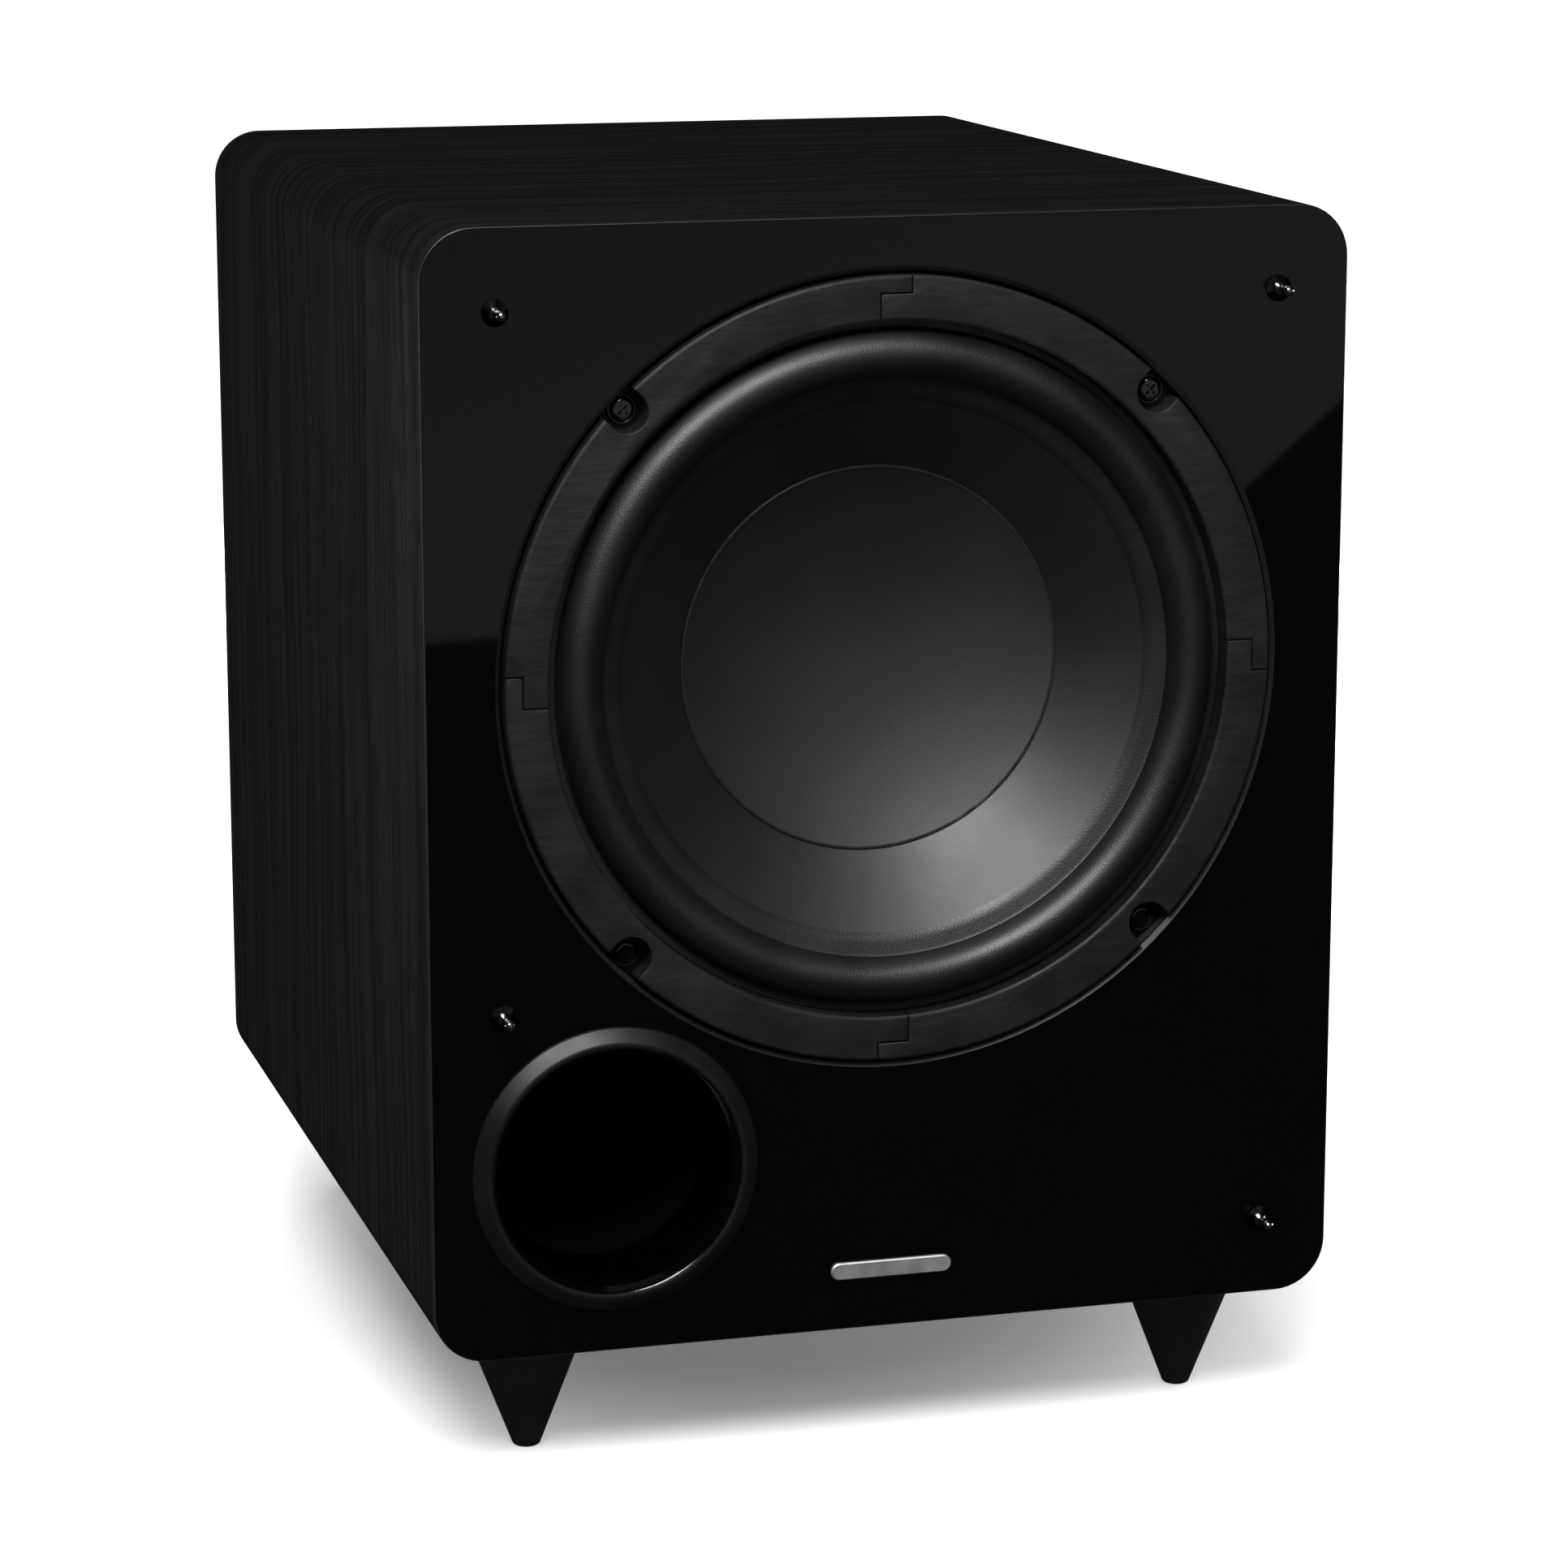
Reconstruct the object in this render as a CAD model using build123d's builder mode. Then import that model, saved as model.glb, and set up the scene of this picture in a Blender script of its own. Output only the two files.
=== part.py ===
from build123d import *
import os

os.makedirs("parts", exist_ok=True)

# A powered subwoofer: a bass-reflex cabinet with one 254 mm class driver and a port on the front,
# and a plate amplifier on the back. Millimetres, +Z up, +X to the right as seen from the front.
# The front faces -Y. The origin is on the ground under the middle of the overall box.

# Cabinet
CABINET_WIDTH = 320.0
CABINET_HEIGHT = 382.0
CABINET_DEPTH = 400.0
CORNER_RADIUS = 18.0
PANEL = 18.0
WRAP = 0.4
FASCIA = 3.0
FASCIA_EDGE = 0.8
BAFFLE = 18.0
BACK_PANEL = 16.0
BRACE = 16.0
BRACE_SETBACK = 210.0
BRACE_RAIL = 40.0
BRACE_OPENING_RADIUS = 30.0

# Conical feet, each with a moulded-in stud that screws into an insert
FOOT_HEIGHT = 45.0
FOOT_RADIUS = 21.0
FOOT_TIP_RADIUS = 4.6
FOOT_TIP_ROUND = 1.8
FOOT_RIM = 2.0
FOOT_INSET = 40.0
STUD_RADIUS = 4.0
STUD_LENGTH = 12.0
INSERT_RADIUS = 6.0
INSERT_LENGTH = 14.0

# Driver, along the axis of the cone; depths are measured back from the front face
DRIVER_HEIGHT = 229.0
CUTOUT_RADIUS = 135.0
CUTOUT_CHAMFER = 1.5
TRIM_OUTER_RADIUS = 133.5
TRIM_INNER_RADIUS = 118.5
TRIM_PROUD = 2.0
TRIM_BEVEL = 0.7
TRIM_SEAM = 0.35
TRIM_STEP_RADIUS = 127.5
TRIM_STEP_HALF = 5.4
SCREW_CIRCLE_RADIUS = 129.5
NOTCH_RADIUS = 7.0
FLANGE_DEPTH = 7.4
SHEET = 1.6
FLANGE_RADIUS = 134.2
SEAL = 1.5
SEAL_INNER_RADIUS = 119.0
BASKET_MOUTH_RADIUS = 114.5
BASKET_THROAT = 9.0
BASKET_WAIST_RADIUS = 76.0
BASKET_WAIST_DEPTH = 66.0
BASKET_NECK_RADIUS = 62.0
BASKET_FLOOR_DEPTH = 84.0
BASKET_WINDOW_WIDTH = 48.0
BASKET_WINDOW_REACH = 30.0
BASKET_WINDOW_CORNER = 6.0
BASKET_WINDOWS = 6
BAFFLE_HOLE_RADIUS = 118.0
ROLL_OUTER_RADIUS = 115.0
ROLL_INNER_RADIUS = 99.0
ROLL_RISE = 9.0
RUBBER = 1.2
LAND_OUTER_RADIUS = 118.2
LIP_INNER_RADIUS = 93.5
CONE_THICKNESS = 1.2
CONE_SLANT = 1.3
CONE_NECK_DEPTH = 62.0
CONE_BULGE = 1.5
CAP_RADIUS = 66.0
CAP_SAG = 15.0
CAP_THICKNESS = 0.8
FORMER_RADIUS = 25.4
FORMER_WALL = 0.4
FORMER_DEPTH = 57.0
FORMER_TAIL = 2.0
WINDING = 1.6
WINDING_LENGTH = 24.0
SPIDER_THICKNESS = 0.8
SPIDER_WAVE = 1.6
SPIDER_WAVES = 5
GLUE_LINE = 0.3
GAP_CLEARANCE = 0.6
TOP_PLATE = 8.0
TOP_PLATE_RADIUS = 60.0
MAGNET = 32.0
MAGNET_RADIUS = 67.0
MAGNET_HOLE_RADIUS = 34.0
MAGNET_EDGE = 1.0
BACK_PLATE = 8.0
POLE_VENT_RADIUS = 8.0
TERMINAL_WIDTH = 26.0
TERMINAL_REACH = 14.0
TERMINAL_BOARD = 1.6
TERMINAL_TAG = 5.0
TINSEL_RADIUS = 0.9
TINSEL_START_RADIUS = 44.0
TINSEL_BEND = 9.0

# Port
PORT_X = -97.0
PORT_HEIGHT = 64.0
PORT_THROAT_RADIUS = 39.0
PORT_ROLL = 3.8
PORT_CREST = 1.0
PORT_BEVEL = 5.7
PORT_RIM_EDGE = 1.2
PORT_PROUD = 4.2
PORT_SPIGOT = 30.0
PORT_TUBE_WALL = 2.0
PORT_SPIGOT_WALL = 2.0
PORT_LENGTH = 185.0

# Pegs that held the grille, and the bar badge
PEG_SPACING_X = 270.0
PEG_TOP_HEIGHT = 354.0
PEG_RIGHT_HEIGHT = 27.0
PEG_LEFT_HEIGHT = 119.0
PEG_PROUD = 11.0
PEG_HEAD_RADIUS = 1.9
PEG_HEAD = 5.0
PEG_SHANK_RADIUS = 1.2
PEG_COLLAR_RADIUS = 4.5
PEG_COLLAR = 1.4
PEG_NECK_RADIUS = 2.4
PEG_NECK = 1.0
PEG_HEAD_EDGE = 0.4
PEG_STEM_RADIUS = 1.5
PEG_STEM = 12.0
BADGE_WIDTH = 43.0
BADGE_HEIGHT = 6.0
BADGE = 1.2
BADGE_CORNER = 2.98
BADGE_EDGE = 0.4
BADGE_CENTRE_HEIGHT = 21.0

# Plate amplifier; across and up are measured from the middle of its plate, seen from behind
AMP_WIDTH = 214.0
AMP_HEIGHT = 274.0
AMP_PLATE = 3.0
AMP_SEAL = 2.0
AMP_RIM = 12.0
AMP_CORNER = 4.0
AMP_EDGE = 0.6
AMP_SEAL_SETBACK = 1.0
CONTROL_ACROSS = 45.0
KNOB_UP = 92.0
KNOB_RADIUS = 11.0
KNOB = 15.0
KNOB_GAP = 0.8
KNOB_MARK = 1.2
KNOB_MARK_LENGTH = 7.7
KNOB_MARK_DEPTH = 1.0
KNOB_MARK_RADIUS = 6.6
KNOB_ROUND = 1.5
SHAFT_RADIUS = 3.0
SHAFT_SINK = 9.0
POT_RADIUS = 8.5
POT = 9.0
SWITCH_UP = 48.0
SWITCH_WIDTH = 18.0
SWITCH_HEIGHT = 9.0
SWITCH = 8.0
LEVER_WIDTH = 4.0
LEVER_HEIGHT = 3.4
LEVER_PROUD = 3.5
LEVER_TRAVEL = 4.0
LEVER_ROUND = 0.5
JACK_UP = 40.0
JACK_PITCH = 18.0
JACK_RADIUS = 4.15
JACK_WALL = 0.85
JACK_BORE_RADIUS = 1.6
JACK_PROUD = 9.0
JACK_COLLAR_RADIUS = 6.0
JACK_COLLAR = 1.2
JACK_TAIL = 6.0
JACK_CORE_SETBACK = 1.0
LED_UP = 118.0
LED_RADIUS = 1.6
LED_PROUD = 1.2
LED_ROUND = 1.08
LED_TAIL = 4.0
FIN_BLOCK_UP = -34.0
FIN_BLOCK_WIDTH = 150.0
FIN_BLOCK_HEIGHT = 76.0
FIN_BASE = 3.0
FIN = 11.0
FIN_THICKNESS = 1.8
FIN_COUNT = 15
ROCKER_UP = -102.0
ROCKER_FRAME_WIDTH = 21.0
ROCKER_FRAME_HEIGHT = 32.0
ROCKER_FRAME_PROUD = 2.0
ROCKER_WALL = 2.0
ROCKER_FLANGE = 1.5
ROCKER_BODY = 15.0
ROCKER_GAP = 0.5
ROCKER_TILT = 8.0
ROCKER_PIVOT = 3.0
ROCKER_PROUD = 3.2
ROCKER_SINK = 7.0
ROCKER_LIFT = 1.6
ROCKER_SWING = 1.2
ROCKER_ROUND = 0.8
ROCKER_FRAME_EDGE = 0.5
INLET_UP = -102.0
INLET_FLANGE_WIDTH = 50.0
INLET_FLANGE_HEIGHT = 34.0
INLET_FLANGE = 2.4
INLET_BODY_WIDTH = 30.0
INLET_BODY_HEIGHT = 30.0
INLET_BODY = 24.0
INLET_CORNER = 3.0
INLET_EDGE = 0.6
SOCKET_WIDTH = 24.4
SOCKET_HEIGHT = 16.6
SOCKET = 17.0
SOCKET_RISE = 5.0
PRONG_WIDTH = 2.0
PRONG_HEIGHT = 4.0
PRONG_PITCH = 7.0
PRONG_SHORT = 3.0
PRONG_STAGGER = 2.0
PRONG_EDGE = 0.4
DRAWER_WIDTH = 20.0
DRAWER_HEIGHT = 6.0
DRAWER_LENGTH = 18.0
DRAWER_DROP = 9.5
DRAWER_LIP = 1.0
DRAWER_WALL = 1.5
DRAWER_FLOOR = 1.0
DRAWER_END = 3.0
DRAWER_FACE = 4.0
BOARD_WIDTH = 170.0
BOARD_HEIGHT = 116.0
BOARD_UP = 64.0
BOARD = 1.6
BOARD_SETBACK = 14.0
CAPACITOR_RADIUS = 11.0
CAPACITOR_LENGTH = 35.0
CAPACITOR_PITCH = 26.0
CAPACITOR_COUNT = 4
CAPACITOR_EDGE = 1.0
TOROID_RADIUS = 40.0
TOROID_HOLE_RADIUS = 14.0
TOROID = 36.0
TOROID_UP = -36.0
TOROID_ROUND = 6.0
LEAD_RADIUS = 1.2
LEAD_PITCH = 9.0
LEAD_BEND = 12.0
LEAD_STRAIGHT = 36.0
LEAD_DROP = 14.0
LEAD_PAD = 12.0

# Fasteners
SCREW_HEAD_RADIUS = 4.1
SCREW_HEAD = 2.4
SCREW_HEAD_ROUND = 1.44
SCREW_SHANK_RADIUS = 2.0
SCREW_LENGTH = 12.5
SCREW_CROSS = 4.4
SCREW_CROSS_WIDTH = 0.9
SCREW_CROSS_DEPTH = 1.2
CLEARANCE = 0.05
HOLE_CLEARANCE = 0.5
SLIDING_CLEARANCE = 0.2

# Places that follow from the sizes above
REAR_STACK = AMP_SEAL + AMP_PLATE + KNOB_GAP + KNOB
FRONT_Y = (PEG_PROUD - CABINET_DEPTH - REAR_STACK) / 2
BASE_Z = FOOT_HEIGHT
MIDDLE_Z = BASE_Z + CABINET_HEIGHT / 2
DRIVER_Z = BASE_Z + DRIVER_HEIGHT
PORT_Z = BASE_Z + PORT_HEIGHT
CARCASS_WIDTH = CABINET_WIDTH - 2 * WRAP
CARCASS_HEIGHT = CABINET_HEIGHT - 2 * WRAP
INNER_WIDTH = CARCASS_WIDTH - 2 * PANEL
INNER_HEIGHT = CARCASS_HEIGHT - 2 * PANEL
BOX_LENGTH = CABINET_DEPTH - FASCIA
REBATE_DEPTH = FLANGE_DEPTH + SHEET + SEAL
LAND_DEPTH = FLANGE_DEPTH - RUBBER
AMP_INNER = CABINET_DEPTH + AMP_SEAL
AMP_FACE = AMP_INNER + AMP_PLATE
AMP_OPENING_WIDTH = AMP_WIDTH - 2 * AMP_RIM
AMP_OPENING_HEIGHT = AMP_HEIGHT - 2 * AMP_RIM
PORT_CREST_RADIUS = PORT_THROAT_RADIUS + PORT_ROLL
PORT_CROWN_RADIUS = PORT_CREST_RADIUS + PORT_CREST
PORT_RIM_RADIUS = PORT_CROWN_RADIUS + PORT_BEVEL
PORT_ROLL_DEPTH = PORT_ROLL - PORT_PROUD
PORT_TUBE_RADIUS = PORT_THROAT_RADIUS + PORT_SPIGOT_WALL + CLEARANCE
PORT_TUBE_OUTER = PORT_TUBE_RADIUS + PORT_TUBE_WALL
GAP_RADIUS = FORMER_RADIUS + WINDING + GAP_CLEARANCE
POLE_RADIUS = FORMER_RADIUS - FORMER_WALL - GAP_CLEARANCE
GAP_MIDDLE = BASKET_FLOOR_DEPTH + TOP_PLATE / 2
FORMER_END_DEPTH = GAP_MIDDLE + WINDING_LENGTH / 2 + FORMER_TAIL
MAGNET_DEPTH = BASKET_FLOOR_DEPTH + TOP_PLATE
YOKE_DEPTH = MAGNET_DEPTH + MAGNET
FOOT_X = CABINET_WIDTH / 2 - FOOT_INSET
FOOT_SPAN = CABINET_DEPTH - 2 * FOOT_INSET
FOOT_MIDDLE_Y = FRONT_Y + CABINET_DEPTH / 2
FOOT_PLACES = {
    "front_left": (-FOOT_X, FOOT_MIDDLE_Y - FOOT_SPAN / 2),
    "front_right": (FOOT_X, FOOT_MIDDLE_Y - FOOT_SPAN / 2),
    "rear_left": (-FOOT_X, FOOT_MIDDLE_Y + FOOT_SPAN / 2),
    "rear_right": (FOOT_X, FOOT_MIDDLE_Y + FOOT_SPAN / 2),
}
PEG_PLACES = [
    (-PEG_SPACING_X / 2, BASE_Z + PEG_TOP_HEIGHT),
    (PEG_SPACING_X / 2, BASE_Z + PEG_TOP_HEIGHT),
    (-PEG_SPACING_X / 2, BASE_Z + PEG_LEFT_HEIGHT),
    (PEG_SPACING_X / 2, BASE_Z + PEG_RIGHT_HEIGHT),
]
AMP_SCREW_ACROSS = AMP_WIDTH / 2 - AMP_RIM / 2
AMP_SCREW_UP = AMP_HEIGHT / 2 - AMP_RIM / 2
AMP_SCREW_PLACES = [
    (-AMP_SCREW_ACROSS, AMP_SCREW_UP), (0, AMP_SCREW_UP), (AMP_SCREW_ACROSS, AMP_SCREW_UP),
    (-AMP_SCREW_ACROSS, AMP_SCREW_UP / 3), (AMP_SCREW_ACROSS, AMP_SCREW_UP / 3),
    (-AMP_SCREW_ACROSS, -AMP_SCREW_UP / 3), (AMP_SCREW_ACROSS, -AMP_SCREW_UP / 3),
    (-AMP_SCREW_ACROSS, -AMP_SCREW_UP), (0, -AMP_SCREW_UP), (AMP_SCREW_ACROSS, -AMP_SCREW_UP),
]
KNOB_PLACES = {"volume": (-CONTROL_ACROSS, KNOB_UP), "crossover": (CONTROL_ACROSS, KNOB_UP)}
SWITCH_PLACES = {"phase": (-CONTROL_ACROSS, SWITCH_UP), "mode": (CONTROL_ACROSS, SWITCH_UP)}
JACK_PLACES = [
    (across * JACK_PITCH / 2, JACK_UP + up * JACK_PITCH / 2) for across in (-1, 1) for up in (-1, 1)
]
ROCKER_OPENING_WIDTH = ROCKER_FRAME_WIDTH - 2 * ROCKER_WALL - 2 * ROCKER_FLANGE
ROCKER_OPENING_HEIGHT = ROCKER_FRAME_HEIGHT - 2 * ROCKER_WALL - 2 * ROCKER_FLANGE


def across(depth):
    """A plane parallel to the front face and this far behind it, facing forward: X right, Z up."""
    return Plane((0, FRONT_Y + depth, 0), x_dir=(1, 0, 0), z_dir=(0, -1, 0))


def rear(depth):
    """A plane through the middle of the amplifier plate, facing backward, seen from behind."""
    return Plane((0, FRONT_Y + depth, MIDDLE_Z), x_dir=(-1, 0, 0), z_dir=(0, 1, 0))


# Turned parts of the driver and the port are drawn as half sections: radius, then depth.
driver_section = Plane((0, FRONT_Y, DRIVER_Z))
driver_axis = Axis((0, FRONT_Y, DRIVER_Z), (0, 1, 0))
port_section = Plane((PORT_X, FRONT_Y, PORT_Z))
port_axis = Axis((PORT_X, FRONT_Y, PORT_Z), (0, 1, 0))


# ---------------------------------------------------------------- cabinet
# The carcass has a rounded outline. The top and bottom slabs carry the rounded long edges, and the
# two sides stand between them.
with BuildPart() as top_panel:
    with BuildSketch(across(CABINET_DEPTH)):
        with Locations((0, MIDDLE_Z)):
            RectangleRounded(CARCASS_WIDTH, CARCASS_HEIGHT, CORNER_RADIUS - WRAP)
        with Locations((0, MIDDLE_Z + INNER_HEIGHT / 2 + PANEL / 2)):
            Rectangle(CARCASS_WIDTH, PANEL, mode=Mode.INTERSECT)
    extrude(amount=BOX_LENGTH)
top_panel.part.label = "top_panel"
export_step(top_panel.part, "parts/top_panel.step")

with BuildPart() as bottom_panel:
    with BuildSketch(across(CABINET_DEPTH)):
        with Locations((0, MIDDLE_Z)):
            RectangleRounded(CARCASS_WIDTH, CARCASS_HEIGHT, CORNER_RADIUS - WRAP)
        with Locations((0, MIDDLE_Z - INNER_HEIGHT / 2 - PANEL / 2)):
            Rectangle(CARCASS_WIDTH, PANEL, mode=Mode.INTERSECT)
    extrude(amount=BOX_LENGTH)
    with BuildSketch(Plane.XY.offset(BASE_Z)):
        with Locations(*FOOT_PLACES.values()):
            Circle(INSERT_RADIUS)
    extrude(amount=WRAP + INSERT_LENGTH, mode=Mode.SUBTRACT)
bottom_panel.part.label = "bottom_panel"
export_step(bottom_panel.part, "parts/bottom_panel.step")

for side, sign in (("left", -1), ("right", 1)):
    with BuildPart() as side_panel:
        with BuildSketch(across(CABINET_DEPTH)):
            with Locations((0, MIDDLE_Z)):
                RectangleRounded(CARCASS_WIDTH, CARCASS_HEIGHT, CORNER_RADIUS - WRAP)
            with Locations((sign * (INNER_WIDTH + PANEL) / 2, MIDDLE_Z)):
                Rectangle(PANEL, INNER_HEIGHT, mode=Mode.INTERSECT)
        extrude(amount=BOX_LENGTH)
    side_panel.part.label = f"{side}_panel"
    export_step(side_panel.part, f"parts/{side}_panel.step")

# The wood-grain film goes once round the four long sides.
with BuildPart() as vinyl_wrap:
    with BuildSketch(across(CABINET_DEPTH)):
        with Locations((0, MIDDLE_Z)):
            RectangleRounded(CABINET_WIDTH, CABINET_HEIGHT, CORNER_RADIUS)
            RectangleRounded(CARCASS_WIDTH, CARCASS_HEIGHT, CORNER_RADIUS - WRAP, mode=Mode.SUBTRACT)
    extrude(amount=BOX_LENGTH)
    with BuildSketch(Plane.XY.offset(BASE_Z)):
        with Locations(*FOOT_PLACES.values()):
            Circle(INSERT_RADIUS)
    extrude(amount=WRAP, mode=Mode.SUBTRACT)
vinyl_wrap.part.label = "vinyl_wrap"
export_step(vinyl_wrap.part, "parts/vinyl_wrap.step")

# The structural baffle sits inside the four panels, behind the fascia, and is rebated for the driver.
with BuildPart() as front_baffle:
    with BuildSketch(across(FASCIA + BAFFLE)):
        with Locations((0, MIDDLE_Z)):
            Rectangle(INNER_WIDTH, INNER_HEIGHT)
        with Locations((0, DRIVER_Z)):
            Circle(BAFFLE_HOLE_RADIUS, mode=Mode.SUBTRACT)
        with Locations((PORT_X, PORT_Z)):
            Circle(PORT_TUBE_OUTER + CLEARANCE, mode=Mode.SUBTRACT)
    extrude(amount=BAFFLE)
    with BuildSketch(across(REBATE_DEPTH)):
        with Locations((0, DRIVER_Z)):
            Circle(CUTOUT_RADIUS)
    extrude(amount=REBATE_DEPTH - FASCIA, mode=Mode.SUBTRACT)
    with BuildSketch(across(REBATE_DEPTH)):
        with Locations((0, DRIVER_Z)):
            with PolarLocations(SCREW_CIRCLE_RADIUS, 4, start_angle=45):
                Circle(SCREW_SHANK_RADIUS + CLEARANCE)
    extrude(amount=FLANGE_DEPTH + SCREW_LENGTH - REBATE_DEPTH, dir=(0, 1, 0), mode=Mode.SUBTRACT)
    with BuildSketch(across(PEG_STEM)):
        with Locations(*PEG_PLACES):
            Circle(PEG_STEM_RADIUS + CLEARANCE)
    extrude(amount=PEG_STEM - FASCIA, mode=Mode.SUBTRACT)
front_baffle.part.label = "front_baffle"
export_step(front_baffle.part, "parts/front_baffle.step")

# The gloss fascia covers the whole front, with a softened outer edge and a chamfered cut-out.
with BuildPart() as gloss_fascia:
    with BuildSketch(across(FASCIA)):
        with Locations((0, MIDDLE_Z)):
            RectangleRounded(CABINET_WIDTH, CABINET_HEIGHT, CORNER_RADIUS)
    extrude(amount=FASCIA)
    fillet(gloss_fascia.faces().sort_by(Axis.Y)[0].edges(), FASCIA_EDGE)
    with BuildSketch(across(FASCIA)):
        with Locations((0, DRIVER_Z)):
            Circle(CUTOUT_RADIUS)
        with Locations((PORT_X, PORT_Z)):
            Circle(PORT_TUBE_OUTER + CLEARANCE)
        with Locations(*PEG_PLACES):
            Circle(PEG_STEM_RADIUS + CLEARANCE)
    extrude(amount=FASCIA, mode=Mode.SUBTRACT)
    cutout_edges = gloss_fascia.edges().filter_by(GeomType.CIRCLE).filter_by(
        lambda edge: abs(edge.radius - CUTOUT_RADIUS) < CLEARANCE
    )
    chamfer(cutout_edges.sort_by(Axis.Y)[0], CUTOUT_CHAMFER)
gloss_fascia.part.label = "gloss_fascia"
export_step(gloss_fascia.part, "parts/gloss_fascia.step")

# A window brace ties the four panels together behind the driver.
with BuildPart() as window_brace:
    with BuildSketch(across(BRACE_SETBACK + BRACE)):
        with Locations((0, MIDDLE_Z)):
            Rectangle(INNER_WIDTH, INNER_HEIGHT)
            RectangleRounded(
                INNER_WIDTH - 2 * BRACE_RAIL,
                INNER_HEIGHT - 2 * BRACE_RAIL,
                BRACE_OPENING_RADIUS,
                mode=Mode.SUBTRACT,
            )
    extrude(amount=BRACE)
window_brace.part.label = "window_brace"
export_step(window_brace.part, "parts/window_brace.step")

with BuildPart() as back_panel:
    with BuildSketch(across(CABINET_DEPTH)):
        with Locations((0, MIDDLE_Z)):
            Rectangle(INNER_WIDTH, INNER_HEIGHT)
            Rectangle(AMP_OPENING_WIDTH, AMP_OPENING_HEIGHT, mode=Mode.SUBTRACT)
    extrude(amount=BACK_PANEL)
    with BuildSketch(rear(CABINET_DEPTH)):
        with Locations(*AMP_SCREW_PLACES):
            Circle(SCREW_SHANK_RADIUS + CLEARANCE)
    extrude(amount=-(SCREW_LENGTH - AMP_SEAL - AMP_PLATE), mode=Mode.SUBTRACT)
back_panel.part.label = "back_panel"
export_step(back_panel.part, "parts/back_panel.step")


# ---------------------------------------------------------------- feet
for corner, (foot_x, foot_y) in FOOT_PLACES.items():
    with BuildPart() as foot:
        with BuildSketch(Plane((foot_x, foot_y, 0), x_dir=(1, 0, 0), z_dir=(0, -1, 0))):
            with BuildLine():
                Polyline(
                    (0, 0),
                    (FOOT_TIP_RADIUS, 0),
                    (FOOT_RADIUS, FOOT_HEIGHT - FOOT_RIM),
                    (FOOT_RADIUS, FOOT_HEIGHT),
                    (STUD_RADIUS, FOOT_HEIGHT),
                    (STUD_RADIUS, FOOT_HEIGHT + STUD_LENGTH),
                    (0, FOOT_HEIGHT + STUD_LENGTH),
                    close=True,
                )
            make_face()
        revolve(axis=Axis((foot_x, foot_y, 0), (0, 0, 1)))
        fillet(foot.faces().sort_by(Axis.Z)[0].edges(), FOOT_TIP_ROUND)
    foot.part.label = f"foot_{corner}"
    export_step(foot.part, f"parts/foot_{corner}.step")

with BuildPart() as foot_inserts:
    with BuildSketch(Plane.XY.offset(BASE_Z)):
        with Locations(*FOOT_PLACES.values()):
            Circle(INSERT_RADIUS)
            Circle(STUD_RADIUS + CLEARANCE, mode=Mode.SUBTRACT)
    extrude(amount=INSERT_LENGTH + WRAP)
foot_inserts.part.label = "foot_inserts"
export_step(foot_inserts.part, "parts/foot_inserts.step")


# ---------------------------------------------------------------- driver frame and seals
# Pressed steel basket: flat flange, straight throat, tapering wall with windows, spider landing,
# neck, and a flat floor that is riveted to the top plate.
with BuildPart() as driver_basket:
    with BuildSketch(driver_section):
        with BuildLine():
            Polyline(
                (FLANGE_RADIUS, FLANGE_DEPTH),
                (BASKET_MOUTH_RADIUS, FLANGE_DEPTH),
                (BASKET_MOUTH_RADIUS, FLANGE_DEPTH + BASKET_THROAT),
                (BASKET_WAIST_RADIUS - SHEET, BASKET_WAIST_DEPTH),
                (BASKET_WAIST_RADIUS - SHEET, BASKET_WAIST_DEPTH + SHEET),
                (BASKET_NECK_RADIUS, BASKET_WAIST_DEPTH + SHEET),
                (BASKET_NECK_RADIUS, BASKET_FLOOR_DEPTH - SHEET),
                (MAGNET_HOLE_RADIUS, BASKET_FLOOR_DEPTH - SHEET),
                (MAGNET_HOLE_RADIUS, BASKET_FLOOR_DEPTH),
                (BASKET_NECK_RADIUS + SHEET, BASKET_FLOOR_DEPTH),
                (BASKET_NECK_RADIUS + SHEET, BASKET_WAIST_DEPTH + 2 * SHEET),
                (BASKET_WAIST_RADIUS, BASKET_WAIST_DEPTH + 2 * SHEET),
                (BASKET_WAIST_RADIUS, BASKET_WAIST_DEPTH),
                (BASKET_MOUTH_RADIUS + SHEET, FLANGE_DEPTH + BASKET_THROAT),
                (BASKET_MOUTH_RADIUS + SHEET, FLANGE_DEPTH + SHEET),
                (FLANGE_RADIUS, FLANGE_DEPTH + SHEET),
                close=True,
            )
        make_face()
    revolve(axis=driver_axis)
    with BuildSketch(across(BASKET_WAIST_DEPTH - SHEET)):
        with Locations((0, DRIVER_Z)):
            with PolarLocations(
                (BASKET_MOUTH_RADIUS + BASKET_WAIST_RADIUS) / 2, BASKET_WINDOWS, start_angle=30
            ):
                RectangleRounded(BASKET_WINDOW_REACH, BASKET_WINDOW_WIDTH, BASKET_WINDOW_CORNER)
    extrude(amount=BASKET_WAIST_DEPTH - FLANGE_DEPTH - BASKET_THROAT - 2 * SHEET, mode=Mode.SUBTRACT)
    with BuildSketch(across(FLANGE_DEPTH + SHEET)):
        with Locations((0, DRIVER_Z)):
            with PolarLocations(SCREW_CIRCLE_RADIUS, 4, start_angle=45):
                Circle(SCREW_SHANK_RADIUS + HOLE_CLEARANCE)
    extrude(amount=SHEET, mode=Mode.SUBTRACT)
driver_basket.part.label = "driver_basket"
export_step(driver_basket.part, "parts/driver_basket.step")

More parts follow.
